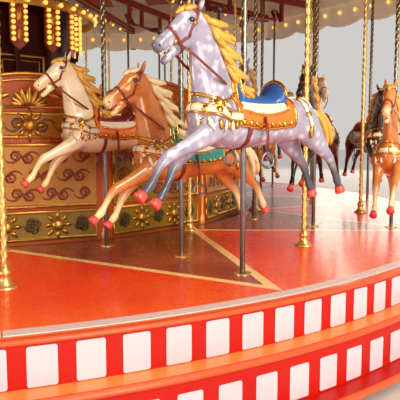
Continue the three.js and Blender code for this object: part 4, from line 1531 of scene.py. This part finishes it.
for bay in range(sum(PANEL_BAYS)):
    angle = PANEL_START + (bay + 0.5) * PANEL_BAY
    for k, (low, high) in enumerate(FIELDS):
        field = ("olive" if bay % 2 == 0 else "ochre", "gold", "olive")[k]
        inlays[field].append(cut_board(frame_path(FIELD_HALF, low, high), angle, PANEL_FACE + 0.005, 0.01))
        gilding.append(moulding(frame_path(FIELD_HALF, low, high), angle, PANEL_FACE + 0.004, 0.026, 0.014))
    arch = [(FIELD_HALF, ARCH_FOOT)] + bow(FIELD_HALF, -FIELD_HALF, 2.085, 0.135, 10)
    arch.append((-FIELD_HALF, ARCH_FOOT))
    gilding.append(moulding(arch, angle, PANEL_FACE + 0.004, 0.024, 0.014))
    crest = bow(PANEL_HALF - 0.03, -PANEL_HALF + 0.03, PANEL_SHOULDER - 0.01, PANEL_RISE, 12)
    gilding.append(moulding(crest, angle, PANEL_FACE + 0.004, 0.036, 0.02, closed=False))
    board = (angle, PANEL_FACE)
    for row, z in enumerate(SCROLL_ROWS):
        for i in range(7):
            pin(scrolls, board, (i - 3) * 0.148, z, 0.009, pi * ((i + row) % 2), 0.155)
    for i in range(6):
        u = (1 if i > 2 else -1) * (0.13 + 0.16 * (i % 3))
        pin(dark_scrolls, board, u, FRIEZE_Z, 0.009, pi * (i % 2), 0.17)
    pin(flowers, board, 0, FRIEZE_Z, 0.012, 0, 0.13)
    for i in range(5):
        u = (i - 2) * 0.22
        if i % 2:
            pin(flowers, board, u, LOWER_Z, 0.009, 0, 0.12)
            continue
        for k in range(4):
            pin(dark_scrolls, board, u, LOWER_Z, 0.009, pi / 2 * k, 0.15)
    for i in range(9):
        roll = (i - 4) * 0.36
        pin(leaves, board, -0.05 * sin(roll), LEAF_Z, 0.01, roll, 0.17 - 0.012 * abs(i - 4))
    for k in (-1, 1):
        for i in range(2):
            pin(
                leaves, board, k * (0.27 + 0.14 * i), LEAF_Z + 0.06 - 0.02 * i, 0.009, k * (1.25 + 0.2 * i),
                0.13
            )
    for i in range(15):
        pin(beads, board, (i - 7) * 0.078, BEAD_Z, 0.004, 0, 0.022)
for label, forms in inlays.items():
    fit(gather(f"panel_fields_{label}", forms, FIELD_PAINTS[label], smooth=False), "centre", "panel_paint")
fit(gather("panel_mouldings", gilding, worn_gilt), "centre", "gilt")
pin_rows("panel_scrolls", scroll_carving, scroll_maroon, scrolls, "centre", "panel_paint")
pin_rows("panel_dark_scrolls", scroll_carving, olive_brown, dark_scrolls, "centre", "panel_paint")
pin_rows("panel_leaves", leaf_carving, worn_gilt, leaves, "centre", "gilt")
pin_rows("panel_flowers", flower_carving, worn_gilt, flowers, "centre", "gilt")
pin_rows("panel_beads", bead_carving, worn_gilt, beads, "centre", "gilt")

# A turned post of orange enamel stands in front of each joint, on a red backing board. The board's red,
# where it shows beside each post, is partly painted shade: it stands for the post's shaded side.
post_orange = enamel("post_orange_enamel", "#ffae58", "#8a4a1c", roughness=0.25)
POST_R = 3.352
post_profile = [
    (0.044, 0.0), (0.044, 0.075), (0.036, 0.085), (0.04, 0.1), (0.03, 0.115), (0.031, 0.3), (0.038, 0.315),
    (0.038, 0.33), (0.03, 0.345), (0.027, 0.8), (0.034, 0.815), (0.034, 0.83), (0.027, 0.845),
    (0.025, 1.25), (0.036, 1.27), (0.032, 1.285), (0.044, 1.32), (0.044, 1.345), (0.02, 1.355),
    (0.028, 1.38), (0.022, 1.415), (0.004, 1.428)
]
posts = []
backs = []
for joint in range(16):
    angle = PANEL_START + joint * PANEL_BAY
    x, y, _ = polar_point(POST_R, angle)
    posts.append(lathe(post_profile, 14, (x, y, PANEL_LOW)))
    backs.append(cut_board(frame_path(0.045, PANEL_LOW, 2.12), angle, POST_R - 0.022, 0.045))
fit(gather("panel_posts", posts, post_orange), "centre", "panel_paint")
fit(gather("panel_post_boards", backs, riser_red, smooth=False), "centre", "panel_paint")


# Centre casing and its lamps
# An eight-sided casing of boarded ply hides the engine and the driving gear. It is dark maroon gloss with
# gilt frames, turned columns and a frieze of drops, edged in small lamps, and carries a hoop of lamps.
case_maroon = enamel("casing_maroon_enamel", "#420a04", "#240604", roughness=0.5, coat=0.0, specular=0.15)
finish_node("centre_case", case_maroon)
pole_maroon = enamel("king_pole_enamel", "#5a1410", "#2c0a08", roughness=0.4, coat=0.0, specular=0.2)
finish_node("king_pole", pole_maroon)
CASE_FLAT = 1.04 * cos(radians(22.5))
CASE_FIELDS = ((1.06, 1.6), (1.68, 2.72))
casing_frames = []
for side in range(8):
    angle = radians(22.5 + 45 * side)
    for low, high in CASE_FIELDS:
        casing_frames.append(moulding(frame_path(0.3, low, high), angle, CASE_FLAT, 0.035, 0.018))
        casing_frames.append(
            moulding(frame_path(0.24, low + 0.06, high - 0.06), angle, CASE_FLAT, 0.014, 0.008)
        )
fit(gather("casing_mouldings", casing_frames, worn_gilt), "centre", "gilt")
DROP_START = radians(-73)
DROP_R = 1.175
DROPS = 16
drop_boards = []
lamps = []
casing_leaves = []
casing_columns = []
for i in range(DROPS):
    angle = DROP_START + i * tau / DROPS
    outline = [
        (-0.105, 3.36), (-0.105, 2.86), (-0.05, 2.8), (0, 2.76), (0.05, 2.8), (0.105, 2.86), (0.105, 3.36)
    ]
    drop_boards.append(cut_board(outline, angle, DROP_R, 0.03))
    board = (angle, DROP_R)
    for side in (-1, 1):
        for k in range(8):
            pin(lamps, board, side * 0.075, 3.34 - 0.066 * k, 0.028, 0, 0.056)
    pin(casing_leaves, board, 0, 3.02, 0.006, pi, 0.16)
    pin(casing_leaves, board, 0, 3.08, 0.006, 0, 0.2)
    x, y, _ = polar_point(1.105, angle)
    column = [
        (0.05, 0.0), (0.05, 0.08), (0.034, 0.1), (0.03, 0.9), (0.038, 0.93), (0.028, 0.96), (0.026, 1.74),
        (0.045, 1.8), (0.045, 1.84)
    ]
    casing_columns.append(lathe(column, 12, (x, y, 0.965)))
drop_brown = enamel("drop_orange_brown_enamel", "#9c3a08", "#5a1c08", roughness=0.4, coat=0.1)
fit(gather("casing_drops", drop_boards, drop_brown, smooth=False), "centre", "case_paint")
fit(gather("casing_columns", casing_columns, case_maroon), "centre", "case_paint")
pin_rows("casing_leaves", leaf_carving, worn_gilt, casing_leaves, "centre", "gilt")

# The hoop is a band of gilt ply on brackets from the casing's cornice, with its lamps facing out.
HOOP_R = 1.4
HOOP_Z = 3.3
fit(
    sweep(
        "lamp_hoop",
        [
            (HOOP_R - 0.02, HOOP_Z - 0.05), (HOOP_R, HOOP_Z - 0.05), (HOOP_R, HOOP_Z + 0.05),
            (HOOP_R - 0.02, HOOP_Z + 0.05)
        ],
        0, tau, 64, [worn_gilt]
    ),
    "centre", "gilt"
)
brackets = []
for i in range(8):
    angle = radians(45 * i)
    path = [polar_point(r, angle, z) for r, z in ((1.14, 3.44), (1.25, 3.42), (1.34, 3.37), (1.385, 3.32))]
    side = Vector((-sin(angle), cos(angle), 0))
    brackets.append(ribbon(path, [side] * 4, [0.03, 0.025, 0.02, 0.02], [0.014] * 4, 6))
fit(gather("lamp_hoop_brackets", brackets, worn_gilt), "centre", "gilt")
lamps += [(polar_point(HOOP_R + 0.02, a, HOOP_Z), a, 0, 0.062) for a in turns_of(40)]


def lamp_glass(name, colour, strength):
    """Clear warm bulb glass, lit from inside."""
    material, tree, place = begin_material(name)
    glow = add(tree, "LayerWeight", Blend=0.35).outputs["Facing"]
    heart = add(tree, "Mix", Factor=glow, A="#ffd36a", B=colour, data_type="RGBA")
    end_material(tree, Base_Color=colour, Roughness=0.1, Emission_Color=heart, Emission_Strength=strength)
    return material


warm_lamp = lamp_glass("warm_lamp_glass", "#ff9c28", 1.25)
bulb = turned_forward([(0.24, -0.4), (0.5, 0.02), (0.36, 0.38), (0.12, 0.5)], 7)
lamp_shape = gather("lamp_shape", [bulb], None)
holder_shape = gather("holder_shape", [turned_forward([(0.62, -0.5), (0.46, -0.26)], 7)], None)


def light_up(name, spots, body):
    """Lamps in their brass holders."""
    pin_rows(name, lamp_shape, warm_lamp, spots, body, "gilt")
    pin_rows(name + "_holders", holder_shape, polished_brass, spots, body, "gilt")


light_up("casing_lamps", lamps, "centre")


# Overhead frame
# Ash and iron swifts run out from a hub on the king pole, one over each platform joint, with a beam and a
# bent crankshaft over each row. They are maroon, lined in gilt, and the twelve-sided rim is a near-white
# cream, partly painted light.
frame_maroon = enamel("frame_maroon_enamel", "#7d150b", "#3d0e09", roughness=0.35, coat=0.1)
# The rim's cream, also on the boards' backs and the pilasters, is made near white: partly paint and partly
# painted light for the light on the rim's inside and the boards' backs.
rim_cream = enamel("rim_cream_enamel", "#fffbe6", "#d8c79c", roughness=0.4, wear_from=0.64)
finish_node("overhead_frame", frame_maroon)
finish_node("rim", rim_cream)
SWIFT_HALF = 0.06
SWIFT_LINE_Z = 4.215
lining = []
swift_lamps = []
for section in range(ROWS):
    angle = section * BAY
    side = Vector((-sin(angle), cos(angle), 0))
    for hand in (-1, 1):
        line = [polar_point(r, angle, SWIFT_LINE_Z) + side * hand * SWIFT_HALF for r in (1.0, 3.5, 6.3)]
        lining.append(band(line, side * hand, 0.012, 0.006))
    for k in range(9):
        swift_lamps.append((polar_point(1.6 + 0.5 * k, angle, SWIFT_Z - 0.03), angle, 0, 0.062, pi / 2))
fit(gather("swift_lining", lining, worn_gilt), "turntable", "gilt")
light_up("swift_lamps", swift_lamps, "turntable")


# The bevel wheel is iron and is fixed to the king pole's collar. The crankshafts' pinions aren't drawn.
tree, given = new_tree("bevel_teeth", Radius="Float", Teeth="Int", Tooth="Float")
ring = add(tree, "CurvePrimitiveCircle", Resolution=given["Teeth"], Radius=given["Radius"])
seats = add(tree, "CurveToPoints", Curve=ring, mode="EVALUATED")
tooth = add(
    tree, "MeshCone", Vertices=4, Radius_Top=add(tree, "Math", given["Tooth"], 0.45, operation="MULTIPLY"),
    Radius_Bottom=given["Tooth"], Depth=add(tree, "Math", given["Tooth"], 1.6, operation="MULTIPLY")
)
placed = add(
    tree, "InstanceOnPoints", Points=seats.outputs["Points"], Instance=tooth,
    Rotation=seats.outputs["Rotation"]
)
lifted = add(tree, "InstanceOnPoints", Points=given["Geometry"], Instance=placed)
close_tree(tree, given, lifted)
GEAR_Z = 3.98
fit(
    gather(
        "bevel_wheel",
        [
            lathe(
                [
                    (0.16, GEAR_Z - 0.02), (0.4, GEAR_Z - 0.02), (0.44, GEAR_Z), (0.44, GEAR_Z + 0.02),
                    (0.16, GEAR_Z + 0.05)
                ],
                48
            )
        ],
        oiled_steel, smooth=False
    ),
    "centre", "steel"
)
fit(
    grow(
        "bevel_wheel_teeth", tree, {"Radius": 0.425, "Teeth": 60, "Tooth": 0.022, "Material": oiled_steel},
        [(0, 0, GEAR_Z - 0.035)]
    ),
    "centre", "steel"
)


# Rounding boards
# Twelve painted boards hang on the rim's flats, arched over the middle and scalloped below, with a pilaster
# at each corner. They carry gilt scrolls, leaves and lamps, and their backs are a near-white cream, partly
# painted light on their inner faces.
BOARD_BACK = 6.3371
BOARD_FACE = BOARD_BACK + 0.04
BOARD_HALF = 1.7
BOARD_LOW = 3.85
BOARD_TOP = 4.79
RULE_Z = 4.07
OVAL_Z = 4.53
SIDE_FIELD = ((0.62, 1.56), (4.17, 4.66))
SIDE_MIDDLE = (1.09, 4.415)
board_red = enamel("board_red_enamel", "#d3200f", "#7d1a10", roughness=0.25)
board_blue = enamel("board_turquoise_enamel", "#2a9a96", "#1a5a58", roughness=0.25)


def scallops(low, half):
    """The lower edge of a board in four hanging scallops."""
    points = []
    for i in range(4):
        left = -half + half * i / 2
        right = -half + half * (i + 1) / 2
        points += bow(left, right, low, -0.09, 6)[: 6 + (i == 3)]
    return points


def crest_line(inset):
    """The top edge of a board, from its left shoulder over the arch to its right one."""
    high = BOARD_TOP - inset
    arch = bow(0.55 * BOARD_HALF, -0.55 * BOARD_HALF, high, 0.27, 14)
    return [(BOARD_HALF - inset, high)] + arch + [(-BOARD_HALF + inset, high)]


def oval(centre, wide, tall):
    return [(wide * cos(a), centre + tall * sin(a)) for a in turns_of(24, 0.5)]


board_gilding, board_backs, board_fields, cartouches = [], [], [], []
board_scrolls, board_leaves, board_flowers, board_beads, board_lamps = [], [], [], [], []
pilasters = []
for quarter in range(4):
    fronts = []
    for section in range(quarter * 3, quarter * 3 + 3):
        angle = (section + 0.5) * BAY
        outline = scallops(BOARD_LOW, BOARD_HALF) + crest_line(0.0)
        fronts.append(cut_board(outline, angle, BOARD_FACE, 0.028))
        board_backs.append(cut_board(outline, angle, BOARD_BACK + 0.0115, 0.011))
        rule = [(-BOARD_HALF + 0.06, RULE_Z), (BOARD_HALF - 0.06, RULE_Z)]
        hem = scallops(BOARD_LOW + 0.025, BOARD_HALF - 0.03)
        board_gilding += [
            moulding(hem, angle, BOARD_FACE, 0.045, 0.022, False),
            moulding(crest_line(0.02), angle, BOARD_FACE, 0.06, 0.03, False),
            moulding(rule, angle, BOARD_FACE, 0.04, 0.02, False),
            moulding(oval(OVAL_Z, 0.4, 0.32), angle, BOARD_FACE, 0.06, 0.03)
        ]
        cartouches.append(cut_board(oval(OVAL_Z, 0.39, 0.31), angle, BOARD_FACE + 0.006, 0.01))
        board = (angle, BOARD_FACE)
        for hand in (-1, 1):
            (near, far), (low, high) = SIDE_FIELD
            field = [(hand * u, z) for u, z in ((near, low), (far, low), (far, high), (near, high))]
            board_fields.append(cut_board(field, angle, BOARD_FACE + 0.006, 0.01))
            board_gilding.append(moulding(field, angle, BOARD_FACE + 0.004, 0.035, 0.018))
            middle, height = hand * SIDE_MIDDLE[0], SIDE_MIDDLE[1]
            pin(board_flowers, board, middle, height, 0.016, 0, 0.17)
            for k in (-1, 1):
                over = pi * (k < 0)
                for u, z, size in ((0.24, 0.02, 0.27), (0.39, -0.1, 0.17)):
                    pin(board_scrolls, board, middle + k * u, height + k * z, 0.016, over, size)
                for tilted in (0.0, 0.5, -0.5):
                    u = middle - k * 0.06 * tilted
                    pin(board_leaves, board, u, height + k * 0.08, 0.016, tilted + over, 0.13)
            for k in range(3):
                roll = -hand * (1.9 - 0.45 * k)
                pin(board_leaves, board, hand * (0.42 + 0.02 * k), 4.4 + 0.12 * k, 0.012, roll, 0.2)
        for k, roll in enumerate(turns_of(8, 0.5)):
            pin(board_leaves, board, 0, OVAL_Z, 0.014, roll, 0.26 if k % 2 else 0.2)
        pin(board_flowers, board, 0, OVAL_Z, 0.035, 0, 0.13)
        pin(board_flowers, board, 0, 4.94, 0.015, 0, 0.12)
        for k in range(17):
            pin(board_beads, board, (k - 8) * 0.19, 3.93, 0.004, 0, 0.05)
        for k in range(9):
            inside = on_board(angle, BOARD_BACK, (k - 4) * 0.37, 4.02, -0.02)
            board_lamps.append((inside, angle + pi, 0, 0.075))
        for k in range(15):
            u = (k - 7) * 0.222
            arch = max(0.0, 1 - (u / (0.55 * BOARD_HALF)) ** 2)
            pin(board_lamps, board, u, 4.705 + 0.27 * arch, 0.02, 0, 0.07)
            pin(board_lamps, board, u, 4.115, 0.02, 0, 0.055)
    fit(
        gather(f"rounding_boards_{quarter + 1}_fronts", fronts, board_red, smooth=False), "turntable",
        "board_paint", f"rounding_boards_{quarter + 1}"
    )
PILASTER_FACE = 6.63
for section in range(ROWS):
    angle = section * BAY
    pilasters.append(cut_board(frame_path(0.06, 3.8, 4.86), angle, PILASTER_FACE, 0.068))
    for low, high in ((4.86, 4.9), (3.8, 3.86)):
        pilasters.append(cut_board(frame_path(0.075, low, high), angle, PILASTER_FACE + 0.012, 0.08))
    board_gilding.append(moulding(frame_path(0.042, 3.9, 4.82), angle, PILASTER_FACE, 0.016, 0.01))
    board = (angle, PILASTER_FACE)
    for k in range(5):
        pin(board_leaves, board, 0, 4.5 - 0.13 * k, 0.006, pi, 0.16)
    pin(board_flowers, board, 0, 4.62, 0.01, 0, 0.1)
    pin(board_lamps, board, 0, 4.75, 0.02, 0, 0.07)
for label, forms, material, slot, smooth in (
    ("backs", board_backs, rim_cream, "board_paint", False),
    ("fields", board_fields, trim_cream, "board_paint", False),
    ("cartouches", cartouches, board_blue, "board_paint", False),
    ("gilding", board_gilding, gold_leaf, "gilt", True),
    ("pilasters", pilasters, rim_cream, "board_paint", False)
):
    fit(gather(f"rounding_board_{label}", forms, material, smooth=smooth), "turntable", slot)
pin_rows("rounding_board_scrolls", scroll_carving, gold_leaf, board_scrolls, "turntable", "gilt")
pin_rows("rounding_board_leaves", leaf_carving, gold_leaf, board_leaves, "turntable", "gilt")
pin_rows("rounding_board_flowers", flower_carving, gold_leaf, board_flowers, "turntable", "gilt")
pin_rows("rounding_board_beads", bead_carving, gold_leaf, board_beads, "turntable", "gilt")
light_up("rounding_board_lamps", board_lamps, "turntable")


# Tilt
# Twelve gores of proofed cotton canvas, striped red and cream, sewn with flat seams and stretched from the
# rim up over the rafters to the crown. Each gore hangs a little slack between its rafters.
TILT_FOOT = Vector((6.552, 4.778))
TILT_HEAD = Vector((0.235, 6.868))
SLACK = 0.055
ACROSS = 10
UPWARDS = 18
vertices, faces, cloth_at = [], [], []
for section in range(ROWS):
    for j in range(UPWARDS + 1):
        t = j / UPWARDS
        line = TILT_FOOT.lerp(TILT_HEAD, t)
        left, right = (polar_point(line.x, (section + k) * BAY, line.y) for k in (0, 1))
        for i in range(ACROSS):
            s = i / ACROSS
            hang = SLACK * 4 * s * (1 - s) * sin(pi * min(1.0, 1.15 * t + 0.02)) * (1 - 0.5 * t)
            place = left.lerp(right, s)
            vertices.append((place.x, place.y, place.z - hang))
            cloth_at.append((s * (right - left).length, t * (TILT_HEAD - TILT_FOOT).length))
rows = UPWARDS + 1
for section in range(ROWS):
    for j in range(UPWARDS):
        for i in range(ACROSS):
            a = (section * rows + j) * ACROSS + i
            b = a + 1 if i < ACROSS - 1 else (((section + 1) % ROWS) * rows + j) * ACROSS
            up = ACROSS
            faces.append((a, b, b + up, a + up))
canvas, tree, place = begin_material("striped_proofed_canvas")
turn, _ = turn_about(tree, place)
# Each gore is sewn from four cloths, cream and red by turns, that narrow towards the crown.
STRIPE = BAY / 4
stripe = add(tree, "Math", turn, STRIPE, operation="PINGPONG")
red_cloth = add(tree, "Math", stripe, STRIPE / 2, operation="GREATER_THAN")
weather = add(tree, "TexNoise", Vector=place, Scale=1.1, Detail=5.0)
stripes = add(tree, "Mix", Factor=red_cloth, A="#f4ead0", B="#c62a1c", data_type="RGBA")
soiled = add(tree, "MapRange", Value=weather, From_Min=0.4, From_Max=0.8, To_Max=0.35)
stained = add(tree, "Mix", Factor=soiled, A=stripes, B="#b9a98c", data_type="RGBA")
off_seam = add(tree, "Math", stripe, STRIPE / 2, operation="SUBTRACT")
seam_away = add(tree, "Math", off_seam, operation="ABSOLUTE")
seam = add(tree, "Math", seam_away, 0.0022, operation="LESS_THAN")
shadow = add(tree, "Math", seam, 0.5, operation="MULTIPLY")
sewn = add(tree, "Mix", Factor=shadow, A=stained, B="#7a6248", data_type="RGBA")
# The yarns lie 0.6 mm apart on the real cloth. The weave is drawn at 12 mm so that it shows.
cloth_map = add(tree, "UVMap", uv_map="cloth")
ways = [
    add(tree, "TexWave", Vector=cloth_map, Scale=26.0, Distortion=0.6, bands_direction=way).outputs["Fac"]
    for way in "XY"
]
weave = add(tree, "Math", *ways, operation="ADD")
relief = add(tree, "Bump", Height=weave, Strength=0.25, Distance=0.003)
end_material(
    tree, Base_Color=sewn, Roughness=0.85, Normal=relief, Sheen_Weight=0.25, Subsurface_Weight=0.45,
    Subsurface_Radius=(0.03, 0.025, 0.018)
)
gores = mesh_piece("tilt_gores", vertices, faces, [canvas])
uv = gores.data.uv_layers.new(name="cloth")
for corner in gores.data.loops:
    uv.data[corner.index].uv = cloth_at[corner.vertex_index]
turn_out(gores.data)
thick = finished("tilt_cut", gores.data, [("SOLIDIFY", {"thickness": 0.004, "offset": -1.0})])
bpy.data.objects.remove(gores)
tilt_canvas = put_in_scene("tilt_canvas", thick)
fit(tilt_canvas, "turntable", "canvas", "tilt")

# A webbing strap is sewn over the canvas along each rafter.
webbing = enamel("sewn_webbing", "#e8dcb8", "#a89468", roughness=0.8, coarse=40.0, coat=0.0)
straps = []
for section in range(ROWS):
    angle = section * BAY
    line = [TILT_FOOT.lerp(TILT_HEAD, t) for t in (0.0, 0.25, 0.5, 0.75, 0.98)]
    path = [polar_point(p.x, angle, p.y + 0.003) for p in line]
    straps.append(band(path, Vector((0, 0, 1)), 0.03, 0.004))
fit(gather("tilt_straps", straps, webbing), "turntable", "canvas")


# Crown
# A turned and carved pine finial, gilded, closes the top of the tilt, with a ring of leaves and of lamps.
CROWN_Z = 6.8803
crown_profile = [
    (0.44, 0.0), (0.468, 0.012), (0.47, 0.05), (0.452, 0.07), (0.462, 0.12), (0.488, 0.2), (0.5, 0.235),
    (0.5, 0.26), (0.47, 0.285), (0.4, 0.3), (0.33, 0.33), (0.275, 0.4), (0.2, 0.5), (0.145, 0.58),
    (0.12, 0.63), (0.14, 0.645), (0.14, 0.665), (0.085, 0.68), (0.06, 0.7), (0.085, 0.73), (0.092, 0.77),
    (0.085, 0.81), (0.05, 0.84), (0.018, 0.86), (0.02, 0.875), (0.003, 0.9)
]
points, polygons = lathe(crown_profile, 48, (0, 0, CROWN_Z))
carved_points = []
for x, y, z in points:
    above = z - CROWN_Z
    flute = 1 + 0.05 * cos(12 * atan2(y, x)) * float(
        fade(above, 0.28, 0.36) * (1 - fade(above, 0.55, 0.63))
    )
    carved_points.append((x * flute, y * flute, z))
fit(gather("crown_finial", [(carved_points, polygons)], gold_leaf), "turntable", "gilt", "crown")
crown_leaves = []
crown_lamps = []
for i in range(24):
    angle = tau * i / 24
    crown_leaves.append((polar_point(0.462, angle, CROWN_Z + 0.075), angle, 0, 0.15))
    if i % 2:
        crown_lamps.append((polar_point(0.5, angle, CROWN_Z + 0.25), angle, 0, 0.06))
pin_rows("crown_leaves", leaf_carving, worn_gilt, crown_leaves, "turntable", "gilt")
light_up("crown_lamps", crown_lamps, "turntable")
for shape in (scroll_carving, leaf_carving, flower_carving, bead_carving, lamp_shape, holder_shape):
    bpy.data.objects.remove(shape)
